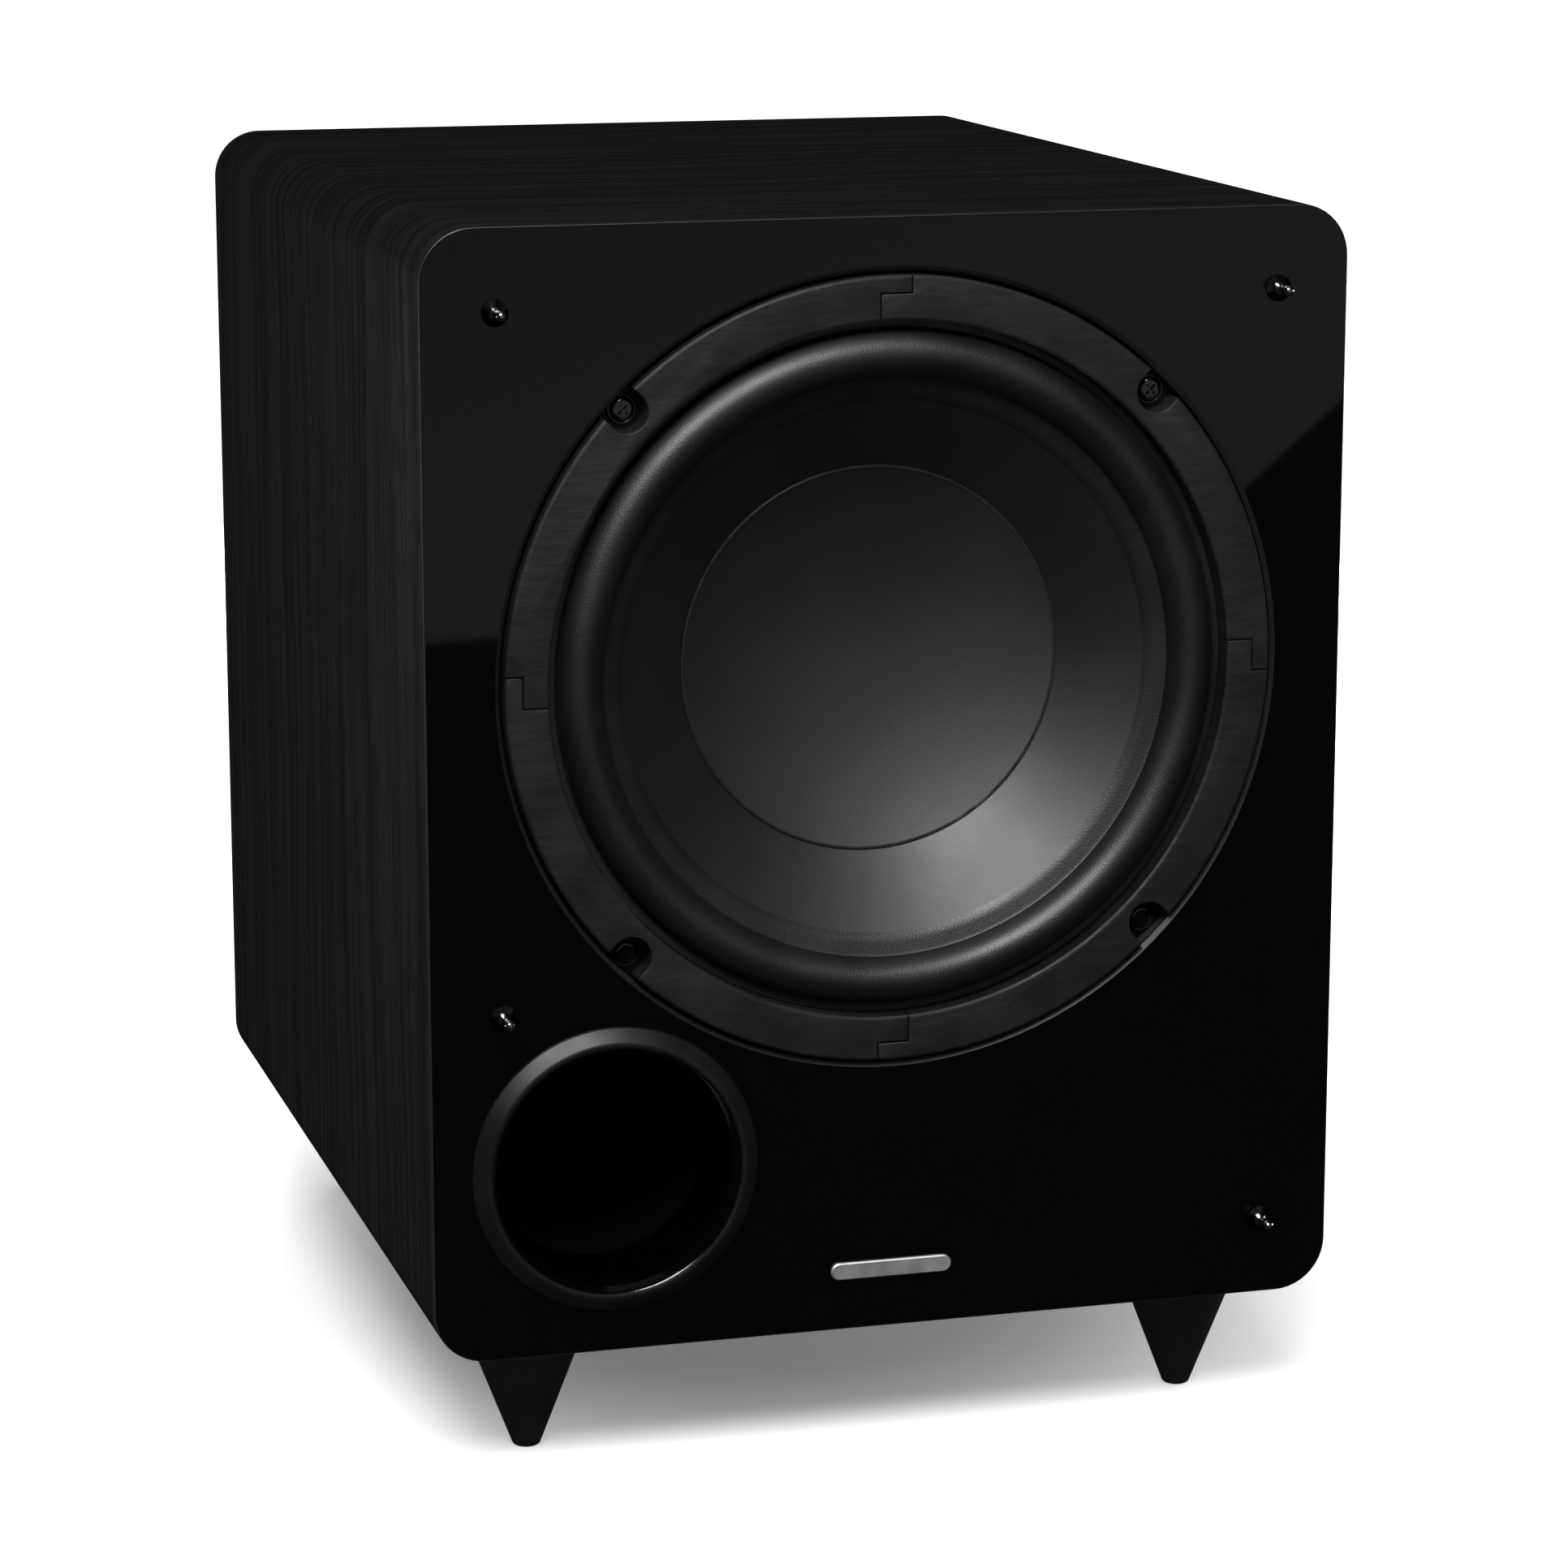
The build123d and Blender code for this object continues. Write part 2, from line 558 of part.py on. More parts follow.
with BuildPart() as driver_seal:
    with BuildSketch(across(REBATE_DEPTH)):
        with Locations((0, DRIVER_Z)):
            Circle(FLANGE_RADIUS)
            Circle(SEAL_INNER_RADIUS, mode=Mode.SUBTRACT)
            with PolarLocations(SCREW_CIRCLE_RADIUS, 4, start_angle=45):
                Circle(SCREW_SHANK_RADIUS + HOLE_CLEARANCE, mode=Mode.SUBTRACT)
    extrude(amount=SEAL)
driver_seal.part.label = "driver_seal"
export_step(driver_seal.part, "parts/driver_seal.step")

# The rubber trim ring is moulded in four segments that meet in stepped joints, and has an open
# notch over each driver screw.
with BuildPart() as trim_ring:
    with BuildSketch(across(FLANGE_DEPTH)):
        with Locations((0, DRIVER_Z)):
            Circle(TRIM_OUTER_RADIUS)
            Circle(TRIM_INNER_RADIUS, mode=Mode.SUBTRACT)
    extrude(amount=FLANGE_DEPTH + TRIM_PROUD)
    chamfer(trim_ring.faces().sort_by(Axis.Y)[0].edges(), TRIM_BEVEL)
    with BuildSketch(across(FLANGE_DEPTH)):
        with Locations((0, DRIVER_Z)):
            with PolarLocations(SCREW_CIRCLE_RADIUS, 4, start_angle=45):
                Circle(NOTCH_RADIUS)
                with Locations((NOTCH_RADIUS / 2, 0)):
                    Rectangle(NOTCH_RADIUS, 2 * NOTCH_RADIUS)
            with PolarLocations(TRIM_STEP_RADIUS, 4, start_angle=90):
                Rectangle(TRIM_SEAM, 2 * TRIM_STEP_HALF + TRIM_SEAM)
                with Locations((TRIM_STEP_HALF, -TRIM_STEP_HALF), (-TRIM_STEP_HALF, TRIM_STEP_HALF)):
                    Rectangle(2 * TRIM_STEP_HALF, TRIM_SEAM)
    extrude(amount=FLANGE_DEPTH + TRIM_PROUD, mode=Mode.SUBTRACT)

trim_segments = trim_ring.part.solids().sort_by(Axis((0, 0, 0), (1, 0, 0.2)))
for number, solid in enumerate(trim_segments, start=1):
    with BuildPart() as trim_segment:
        add(solid)
    trim_segment.part.label = f"trim_segment_{number}"
    export_step(trim_segment.part, f"parts/trim_segment_{number}.step")

with BuildPart() as driver_screws:
    with BuildSketch(across(FLANGE_DEPTH)):
        with Locations((0, DRIVER_Z)):
            with PolarLocations(SCREW_CIRCLE_RADIUS, 4, start_angle=45):
                Circle(SCREW_HEAD_RADIUS)
    extrude(amount=SCREW_HEAD)
    head_faces = driver_screws.faces().group_by(Axis.Y)[0]
    fillet(head_faces.edges(), SCREW_HEAD_ROUND)
    with BuildSketch(across(FLANGE_DEPTH)):
        with Locations((0, DRIVER_Z)):
            with PolarLocations(SCREW_CIRCLE_RADIUS, 4, start_angle=45):
                Circle(SCREW_SHANK_RADIUS)
    extrude(amount=-SCREW_LENGTH)
    with BuildSketch(across(FLANGE_DEPTH - SCREW_HEAD + SCREW_CROSS_DEPTH)):
        with Locations((0, DRIVER_Z)):
            with PolarLocations(SCREW_CIRCLE_RADIUS, 4, start_angle=45):
                Rectangle(SCREW_CROSS, SCREW_CROSS_WIDTH)
                Rectangle(SCREW_CROSS_WIDTH, SCREW_CROSS)
    extrude(amount=SCREW_CROSS_DEPTH, mode=Mode.SUBTRACT)
driver_screws.part.label = "driver_screws"
export_step(driver_screws.part, "parts/driver_screws.step")


# ---------------------------------------------------------------- moving assembly of the driver
# Half-roll rubber surround: an outer land on the flange, the roll, and an inner land on the cone.
ROLL_MIDDLE = (ROLL_OUTER_RADIUS + ROLL_INNER_RADIUS) / 2
with BuildPart() as surround:
    with BuildSketch(driver_section):
        with BuildLine():
            Line((LAND_OUTER_RADIUS, LAND_DEPTH), (ROLL_OUTER_RADIUS, LAND_DEPTH))
            ThreePointArc(
                (ROLL_OUTER_RADIUS, LAND_DEPTH),
                (ROLL_MIDDLE, LAND_DEPTH - ROLL_RISE),
                (ROLL_INNER_RADIUS, LAND_DEPTH),
            )
            Line((ROLL_INNER_RADIUS, LAND_DEPTH), (LIP_INNER_RADIUS, LAND_DEPTH))
            Line((LIP_INNER_RADIUS, LAND_DEPTH), (LIP_INNER_RADIUS, FLANGE_DEPTH))
            Line((LIP_INNER_RADIUS, FLANGE_DEPTH), (ROLL_INNER_RADIUS + RUBBER, FLANGE_DEPTH))
            ThreePointArc(
                (ROLL_INNER_RADIUS + RUBBER, FLANGE_DEPTH),
                (ROLL_MIDDLE, LAND_DEPTH - ROLL_RISE + RUBBER),
                (ROLL_OUTER_RADIUS - RUBBER, FLANGE_DEPTH),
            )
            Line((ROLL_OUTER_RADIUS - RUBBER, FLANGE_DEPTH), (LAND_OUTER_RADIUS, FLANGE_DEPTH))
            Line((LAND_OUTER_RADIUS, FLANGE_DEPTH), (LAND_OUTER_RADIUS, LAND_DEPTH))
        make_face()
    revolve(axis=driver_axis)
surround.part.label = "surround"
export_step(surround.part, "parts/surround.step")

# Paper cone: a flat lip under the surround, then a slightly curved wall down to the coil former.
CONE_MIDDLE_RADIUS = (LIP_INNER_RADIUS + FORMER_RADIUS) / 2
CONE_MIDDLE_DEPTH = (FLANGE_DEPTH + CONE_NECK_DEPTH) / 2 - CONE_BULGE
CONE_BACK = CONE_SLANT * CONE_THICKNESS
with BuildPart() as cone:
    with BuildSketch(driver_section):
        with BuildLine():
            Line((ROLL_INNER_RADIUS, FLANGE_DEPTH), (LIP_INNER_RADIUS, FLANGE_DEPTH))
            ThreePointArc(
                (LIP_INNER_RADIUS, FLANGE_DEPTH),
                (CONE_MIDDLE_RADIUS, CONE_MIDDLE_DEPTH),
                (FORMER_RADIUS, CONE_NECK_DEPTH),
            )
            Line((FORMER_RADIUS, CONE_NECK_DEPTH), (FORMER_RADIUS, CONE_NECK_DEPTH + CONE_BACK))
            ThreePointArc(
                (FORMER_RADIUS, CONE_NECK_DEPTH + CONE_BACK),
                (CONE_MIDDLE_RADIUS, CONE_MIDDLE_DEPTH + CONE_BACK),
                (LIP_INNER_RADIUS + CONE_THICKNESS / 2, FLANGE_DEPTH + CONE_THICKNESS),
            )
            Line(
                (LIP_INNER_RADIUS + CONE_THICKNESS / 2, FLANGE_DEPTH + CONE_THICKNESS),
                (ROLL_INNER_RADIUS, FLANGE_DEPTH + CONE_THICKNESS),
            )
            Line((ROLL_INNER_RADIUS, FLANGE_DEPTH + CONE_THICKNESS), (ROLL_INNER_RADIUS, FLANGE_DEPTH))
        make_face()
    revolve(axis=driver_axis)
cone.part.label = "cone"
export_step(cone.part, "parts/cone.step")


def cone_depth(radius):
    """Depth of the cone's front surface at this radius: the straight wall less its slight bulge."""
    share = (LIP_INNER_RADIUS - radius) / (LIP_INNER_RADIUS - FORMER_RADIUS)
    straight = FLANGE_DEPTH + (CONE_NECK_DEPTH - FLANGE_DEPTH) * share
    return straight - CONE_BULGE * 4 * share * (1 - share)


# Dished dust cap: its rim is glued on the cone, and its middle is set back.
CAP_RIM_DEPTH = cone_depth(CAP_RADIUS) - CAP_THICKNESS - CLEARANCE
CAP_BACK_RADIUS = CAP_RADIUS - CAP_THICKNESS
with BuildPart() as dust_cap:
    with BuildSketch(driver_section):
        with BuildLine():
            TangentArc(
                (0, CAP_RIM_DEPTH + CAP_SAG), (CAP_RADIUS, CAP_RIM_DEPTH), tangent=(1, 0)
            )
            Line((CAP_RADIUS, CAP_RIM_DEPTH), (CAP_BACK_RADIUS, CAP_RIM_DEPTH + CAP_THICKNESS))
            TangentArc(
                (0, CAP_RIM_DEPTH + CAP_SAG + CAP_THICKNESS),
                (CAP_BACK_RADIUS, CAP_RIM_DEPTH + CAP_THICKNESS),
                tangent=(1, 0),
            )
            Line((0, CAP_RIM_DEPTH + CAP_SAG), (0, CAP_RIM_DEPTH + CAP_SAG + CAP_THICKNESS))
        make_face()
    revolve(axis=driver_axis)
dust_cap.part.label = "dust_cap"
export_step(dust_cap.part, "parts/dust_cap.step")

with BuildPart() as voice_coil_former:
    with BuildSketch(across(FORMER_END_DEPTH)):
        with Locations((0, DRIVER_Z)):
            Circle(FORMER_RADIUS)
            Circle(FORMER_RADIUS - FORMER_WALL, mode=Mode.SUBTRACT)
    extrude(amount=FORMER_END_DEPTH - FORMER_DEPTH)
voice_coil_former.part.label = "voice_coil_former"
export_step(voice_coil_former.part, "parts/voice_coil_former.step")

with BuildPart() as voice_coil_winding:
    with BuildSketch(across(GAP_MIDDLE + WINDING_LENGTH / 2)):
        with Locations((0, DRIVER_Z)):
            Circle(FORMER_RADIUS + WINDING)
            Circle(FORMER_RADIUS, mode=Mode.SUBTRACT)
    extrude(amount=WINDING_LENGTH)
voice_coil_winding.part.label = "voice_coil_winding"
export_step(voice_coil_winding.part, "parts/voice_coil_winding.step")

# Corrugated spider: flat rings joined by steps, from the former to its landing in the basket.
SPIDER_DEPTH = BASKET_WAIST_DEPTH + SHEET - SPIDER_THICKNESS
SPIDER_OUTER_RADIUS = BASKET_WAIST_RADIUS - SHEET - HOLE_CLEARANCE
SPIDER_INNER_RADIUS = FORMER_RADIUS + GLUE_LINE
SPIDER_PITCH = (BASKET_NECK_RADIUS - SPIDER_INNER_RADIUS) / (2 * SPIDER_WAVES + 1)
spider_front = [
    (SPIDER_INNER_RADIUS, SPIDER_DEPTH),
    (SPIDER_INNER_RADIUS + SPIDER_PITCH, SPIDER_DEPTH),
]
for wave in range(SPIDER_WAVES):
    start = SPIDER_INNER_RADIUS + (2 * wave + 1) * SPIDER_PITCH
    spider_front.append((start + SPIDER_PITCH, SPIDER_DEPTH - SPIDER_WAVE))
    spider_front.append((start + 2 * SPIDER_PITCH, SPIDER_DEPTH))
spider_front.append((SPIDER_OUTER_RADIUS, SPIDER_DEPTH))
spider_back = [(radius, depth + SPIDER_THICKNESS) for radius, depth in reversed(spider_front)]
with BuildPart() as spider:
    with BuildSketch(driver_section):
        with BuildLine():
            Polyline(*spider_front, *spider_back, close=True)
        make_face()
    revolve(axis=driver_axis)
spider.part.label = "spider"
export_step(spider.part, "parts/spider.step")


# ---------------------------------------------------------------- motor of the driver
with BuildPart() as top_plate:
    with BuildSketch(across(MAGNET_DEPTH)):
        with Locations((0, DRIVER_Z)):
            Circle(TOP_PLATE_RADIUS)
            Circle(GAP_RADIUS, mode=Mode.SUBTRACT)
    extrude(amount=TOP_PLATE)
top_plate.part.label = "top_plate"
export_step(top_plate.part, "parts/top_plate.step")

with BuildPart() as magnet:
    with BuildSketch(across(YOKE_DEPTH)):
        with Locations((0, DRIVER_Z)):
            Circle(MAGNET_RADIUS)
            Circle(MAGNET_HOLE_RADIUS, mode=Mode.SUBTRACT)
    extrude(amount=MAGNET)
    chamfer(magnet.edges().filter_by(GeomType.CIRCLE), MAGNET_EDGE)
magnet.part.label = "magnet"
export_step(magnet.part, "parts/magnet.step")

with BuildPart() as pole_piece:
    with BuildSketch(driver_section):
        with BuildLine():
            Polyline(
                (POLE_VENT_RADIUS, BASKET_FLOOR_DEPTH),
                (POLE_RADIUS, BASKET_FLOOR_DEPTH),
                (POLE_RADIUS, YOKE_DEPTH),
                (TOP_PLATE_RADIUS, YOKE_DEPTH),
                (TOP_PLATE_RADIUS, YOKE_DEPTH + BACK_PLATE),
                (POLE_VENT_RADIUS, YOKE_DEPTH + BACK_PLATE),
                close=True,
            )
        make_face()
    revolve(axis=driver_axis)
pole_piece.part.label = "pole_piece"
export_step(pole_piece.part, "parts/pole_piece.step")

# The terminal board hangs below the spider landing, with two solder tags for the leads.
TERMINAL_DEPTH = BASKET_WAIST_DEPTH + 2 * SHEET
TERMINAL_TOP_Z = DRIVER_Z - BASKET_NECK_RADIUS - 2 * SHEET
TERMINAL_Z = DRIVER_Z - BASKET_WAIST_RADIUS - TERMINAL_REACH
with BuildPart() as terminal_board:
    with BuildSketch(across(TERMINAL_DEPTH + TERMINAL_BOARD)):
        with Locations((0, (TERMINAL_TOP_Z + TERMINAL_Z) / 2)):
            Rectangle(TERMINAL_WIDTH, TERMINAL_TOP_Z - TERMINAL_Z)
    extrude(amount=TERMINAL_BOARD)
terminal_board.part.label = "terminal_board"
export_step(terminal_board.part, "parts/terminal_board.step")

# Braided tinsel leads run from the back of the cone through a window to the terminal board.
TINSEL_START_DEPTH = cone_depth(TINSEL_START_RADIUS) + CONE_BACK + TINSEL_RADIUS + GLUE_LINE
TINSEL_END_RADIUS = DRIVER_Z - TERMINAL_Z - TERMINAL_TAG
with BuildPart() as tinsel_leads:
    for lead_x in (-LEAD_PITCH / 2, LEAD_PITCH / 2):
        with BuildLine(Plane((lead_x, FRONT_Y, DRIVER_Z), x_dir=(0, 0, -1), z_dir=(1, 0, 0))) as route:
            FilletPolyline(
                (TINSEL_START_RADIUS, TINSEL_START_DEPTH),
                (TINSEL_END_RADIUS, TINSEL_START_DEPTH),
                (TINSEL_END_RADIUS, TERMINAL_DEPTH),
                radius=TINSEL_BEND,
            )
        with BuildSketch(Plane(origin=route.line @ 0, z_dir=route.line % 0)):
            Circle(TINSEL_RADIUS)
        sweep(path=route.line)
tinsel_leads.part.label = "tinsel_leads"
export_step(tinsel_leads.part, "parts/tinsel_leads.step")


# ---------------------------------------------------------------- port
# The moulded flare stands on the fascia, rolls into the throat, and its spigot centres the tube.
with BuildPart() as port_flare:
    with BuildSketch(port_section):
        with BuildLine():
            Line((PORT_THROAT_RADIUS + PORT_SPIGOT_WALL, 0), (PORT_RIM_RADIUS, 0))
            Line((PORT_RIM_RADIUS, 0), (PORT_RIM_RADIUS, -PORT_RIM_EDGE))
            Line((PORT_RIM_RADIUS, -PORT_RIM_EDGE), (PORT_CROWN_RADIUS, -PORT_PROUD))
            Line((PORT_CROWN_RADIUS, -PORT_PROUD), (PORT_CREST_RADIUS, -PORT_PROUD))
            RadiusArc(
                (PORT_CREST_RADIUS, -PORT_PROUD), (PORT_THROAT_RADIUS, PORT_ROLL_DEPTH), PORT_ROLL
            )
            Line((PORT_THROAT_RADIUS, PORT_ROLL_DEPTH), (PORT_THROAT_RADIUS, PORT_SPIGOT))
            Line((PORT_THROAT_RADIUS, PORT_SPIGOT), (PORT_THROAT_RADIUS + PORT_SPIGOT_WALL, PORT_SPIGOT))
            Line(
                (PORT_THROAT_RADIUS + PORT_SPIGOT_WALL, PORT_SPIGOT),
                (PORT_THROAT_RADIUS + PORT_SPIGOT_WALL, 0),
            )
        make_face()
    revolve(axis=port_axis)
port_flare.part.label = "port_flare"
export_step(port_flare.part, "parts/port_flare.step")

with BuildPart() as port_tube:
    with BuildSketch(across(PORT_LENGTH)):
        with Locations((PORT_X, PORT_Z)):
            Circle(PORT_TUBE_OUTER)
            Circle(PORT_TUBE_RADIUS, mode=Mode.SUBTRACT)
    extrude(amount=PORT_LENGTH)
port_tube.part.label = "port_tube"
export_step(port_tube.part, "parts/port_tube.step")


# ---------------------------------------------------------------- grille pegs and badge
# Each peg is turned from one rod: stem in the baffle, collar on the fascia, slim shank, round head.
with BuildPart() as grille_pegs:
    for peg_x, peg_z in PEG_PLACES:
        with BuildSketch(Plane((peg_x, FRONT_Y, peg_z))):
            with BuildLine():
                Polyline(
                    (0, PEG_HEAD_RADIUS - PEG_PROUD),
                    (0, PEG_STEM),
                    (PEG_STEM_RADIUS, PEG_STEM),
                    (PEG_STEM_RADIUS, 0),
                    (PEG_COLLAR_RADIUS, 0),
                    (PEG_COLLAR_RADIUS, -PEG_COLLAR / 2),
                    (PEG_NECK_RADIUS, -PEG_COLLAR),
                    (PEG_SHANK_RADIUS, -PEG_COLLAR - PEG_NECK),
                    (PEG_SHANK_RADIUS, PEG_HEAD - PEG_PROUD),
                    (PEG_HEAD_RADIUS, PEG_HEAD - PEG_PROUD - PEG_HEAD_EDGE),
                    (PEG_HEAD_RADIUS, PEG_HEAD_RADIUS - PEG_PROUD),
                    close=True,
                )
            make_face()
            with BuildLine():
                Line((0, PEG_HEAD_RADIUS - PEG_PROUD), (0, -PEG_PROUD))
                RadiusArc(
                    (0, -PEG_PROUD), (PEG_HEAD_RADIUS, PEG_HEAD_RADIUS - PEG_PROUD), -PEG_HEAD_RADIUS
                )
                Line((PEG_HEAD_RADIUS, PEG_HEAD_RADIUS - PEG_PROUD), (0, PEG_HEAD_RADIUS - PEG_PROUD))
            make_face()
        revolve(axis=Axis((peg_x, FRONT_Y, peg_z), (0, 1, 0)))
grille_pegs.part.label = "grille_pegs"
export_step(grille_pegs.part, "parts/grille_pegs.step")

with BuildPart() as badge_bar:
    with BuildSketch(across(0)):
        with Locations((0, BASE_Z + BADGE_CENTRE_HEIGHT)):
            RectangleRounded(BADGE_WIDTH, BADGE_HEIGHT, BADGE_CORNER)
    extrude(amount=BADGE)
    chamfer(badge_bar.faces().sort_by(Axis.Y)[0].edges(), BADGE_EDGE)
badge_bar.part.label = "badge_bar"
export_step(badge_bar.part, "parts/badge_bar.step")


# ---------------------------------------------------------------- amplifier plate
with BuildPart() as amp_plate:
    with BuildSketch(rear(AMP_INNER)):
        RectangleRounded(AMP_WIDTH, AMP_HEIGHT, AMP_CORNER)
        with Locations(*AMP_SCREW_PLACES):
            Circle(SCREW_SHANK_RADIUS + HOLE_CLEARANCE, mode=Mode.SUBTRACT)
        with Locations(*KNOB_PLACES.values()):
            Circle(SHAFT_RADIUS + 2 * SLIDING_CLEARANCE, mode=Mode.SUBTRACT)
        with Locations(*SWITCH_PLACES.values()):
            Rectangle(
                LEVER_WIDTH + LEVER_TRAVEL + 2 * SLIDING_CLEARANCE,
                LEVER_HEIGHT + 2 * SLIDING_CLEARANCE,
                mode=Mode.SUBTRACT,
            )
        with Locations(*JACK_PLACES):
            Circle(JACK_RADIUS + CLEARANCE, mode=Mode.SUBTRACT)
        with Locations((0, LED_UP)):
            Circle(LED_RADIUS + CLEARANCE, mode=Mode.SUBTRACT)
        with Locations((-CONTROL_ACROSS, ROCKER_UP)):
            Rectangle(
                ROCKER_FRAME_WIDTH - 2 * ROCKER_FLANGE,
                ROCKER_FRAME_HEIGHT - 2 * ROCKER_FLANGE,
                mode=Mode.SUBTRACT,
            )
        with Locations((CONTROL_ACROSS, INLET_UP)):
            Rectangle(INLET_BODY_WIDTH, INLET_BODY_HEIGHT, mode=Mode.SUBTRACT)
    extrude(amount=AMP_PLATE)
    chamfer(amp_plate.faces().sort_by(Axis.Y)[-1].outer_wire().edges(), AMP_EDGE)
amp_plate.part.label = "amp_plate"
export_step(amp_plate.part, "parts/amp_plate.step")

with BuildPart() as amp_seal:
    with BuildSketch(rear(CABINET_DEPTH)):
        RectangleRounded(AMP_WIDTH - 2 * AMP_SEAL_SETBACK, AMP_HEIGHT - 2 * AMP_SEAL_SETBACK, AMP_CORNER)
        Rectangle(AMP_OPENING_WIDTH, AMP_OPENING_HEIGHT, mode=Mode.SUBTRACT)
        with Locations(*AMP_SCREW_PLACES):
            Circle(SCREW_SHANK_RADIUS + HOLE_CLEARANCE, mode=Mode.SUBTRACT)
    extrude(amount=AMP_SEAL)
amp_seal.part.label = "amp_seal"
export_step(amp_seal.part, "parts/amp_seal.step")

with BuildPart() as amp_screws:
    with BuildSketch(rear(AMP_FACE)):
        with Locations(*AMP_SCREW_PLACES):
            Circle(SCREW_HEAD_RADIUS)
    extrude(amount=SCREW_HEAD)
    fillet(amp_screws.faces().group_by(Axis.Y)[-1].edges(), SCREW_HEAD_ROUND)
    with BuildSketch(rear(AMP_FACE)):
        with Locations(*AMP_SCREW_PLACES):
            Circle(SCREW_SHANK_RADIUS)
    extrude(amount=-SCREW_LENGTH)
    with BuildSketch(rear(AMP_FACE + SCREW_HEAD - SCREW_CROSS_DEPTH)):
        with Locations(*AMP_SCREW_PLACES):
            Rectangle(SCREW_CROSS, SCREW_CROSS_WIDTH)
            Rectangle(SCREW_CROSS_WIDTH, SCREW_CROSS)
    extrude(amount=SCREW_CROSS_DEPTH, mode=Mode.SUBTRACT)
amp_screws.part.label = "amp_screws"
export_step(amp_screws.part, "parts/amp_screws.step")

# Extruded heatsink with upright fins, on the outside of the plate.
with BuildPart() as heatsink:
    with BuildSketch(rear(AMP_FACE)):
        with Locations((0, FIN_BLOCK_UP)):
            Rectangle(FIN_BLOCK_WIDTH, FIN_BLOCK_HEIGHT)
    extrude(amount=FIN_BASE)
    with BuildSketch(rear(AMP_FACE + FIN_BASE)):
        with Locations((0, FIN_BLOCK_UP)):
            with GridLocations((FIN_BLOCK_WIDTH - FIN_THICKNESS) / (FIN_COUNT - 1), 0, FIN_COUNT, 1):
                Rectangle(FIN_THICKNESS, FIN_BLOCK_HEIGHT)
    extrude(amount=FIN)
heatsink.part.label = "heatsink"
export_step(heatsink.part, "parts/heatsink.step")


# ---------------------------------------------------------------- turning controls
with BuildPart() as control_pots:
    with BuildSketch(rear(AMP_INNER - POT)):
        with Locations(*KNOB_PLACES.values()):
            Circle(POT_RADIUS)
    extrude(amount=POT)
    with BuildSketch(rear(AMP_INNER - POT / 2)):
        with Locations(*KNOB_PLACES.values()):
            Circle(SHAFT_RADIUS + CLEARANCE)
    extrude(amount=POT / 2, mode=Mode.SUBTRACT)
control_pots.part.label = "control_pots"
export_step(control_pots.part, "parts/control_pots.step")

KNOB_BASE = AMP_FACE + KNOB_GAP
for control, place in KNOB_PLACES.items():
    with BuildPart() as control_shaft:
        with BuildSketch(rear(AMP_INNER - POT / 2)):
            with Locations(place):
                Circle(SHAFT_RADIUS)
        extrude(amount=POT / 2 + AMP_PLATE + KNOB_GAP + SHAFT_SINK)
    control_shaft.part.label = f"{control}_shaft"
    export_step(control_shaft.part, f"parts/{control}_shaft.step")

    with BuildPart() as control_knob:
        with BuildSketch(rear(KNOB_BASE)):
            with Locations(place):
                Circle(KNOB_RADIUS)
        extrude(amount=KNOB)
        fillet(control_knob.faces().sort_by(Axis.Y)[-1].edges(), KNOB_ROUND)
        with BuildSketch(rear(KNOB_BASE)):
            with Locations(place):
                Circle(SHAFT_RADIUS)
        extrude(amount=SHAFT_SINK, mode=Mode.SUBTRACT)
        with BuildSketch(rear(KNOB_BASE + KNOB - KNOB_MARK_DEPTH)):
            with Locations((place[0], place[1] + KNOB_MARK_RADIUS)):
                Rectangle(KNOB_MARK, KNOB_MARK_LENGTH)
        extrude(amount=KNOB_MARK_DEPTH, mode=Mode.SUBTRACT)
    control_knob.part.label = f"{control}_knob"
    export_step(control_knob.part, f"parts/{control}_knob.step")


# ---------------------------------------------------------------- slide switches
LEVER_SLOT_WIDTH = LEVER_WIDTH + LEVER_TRAVEL + 2 * SLIDING_CLEARANCE
LEVER_SINK = SWITCH / 2
with BuildPart() as slide_switches:
    with BuildSketch(rear(AMP_INNER - SWITCH)):
        with Locations(*SWITCH_PLACES.values()):
            Rectangle(SWITCH_WIDTH, SWITCH_HEIGHT)
    extrude(amount=SWITCH)
    with BuildSketch(rear(AMP_INNER - LEVER_SINK - SLIDING_CLEARANCE)):
        with Locations(*SWITCH_PLACES.values()):
            Rectangle(LEVER_SLOT_WIDTH, LEVER_HEIGHT + 2 * SLIDING_CLEARANCE)
    extrude(amount=LEVER_SINK + SLIDING_CLEARANCE, mode=Mode.SUBTRACT)
slide_switches.part.label = "slide_switches"
export_step(slide_switches.part, "parts/slide_switches.step")

for control, place in SWITCH_PLACES.items():
    with BuildPart() as switch_lever:
        with BuildSketch(rear(AMP_INNER - LEVER_SINK)):
            with Locations((place[0] + LEVER_TRAVEL / 2, place[1])):
                Rectangle(LEVER_WIDTH, LEVER_HEIGHT)
        extrude(amount=LEVER_SINK + AMP_PLATE + LEVER_PROUD)
        fillet(switch_lever.faces().sort_by(Axis.Y)[-1].edges(), LEVER_ROUND)
    switch_lever.part.label = f"{control}_lever"
    export_step(switch_lever.part, f"parts/{control}_lever.step")


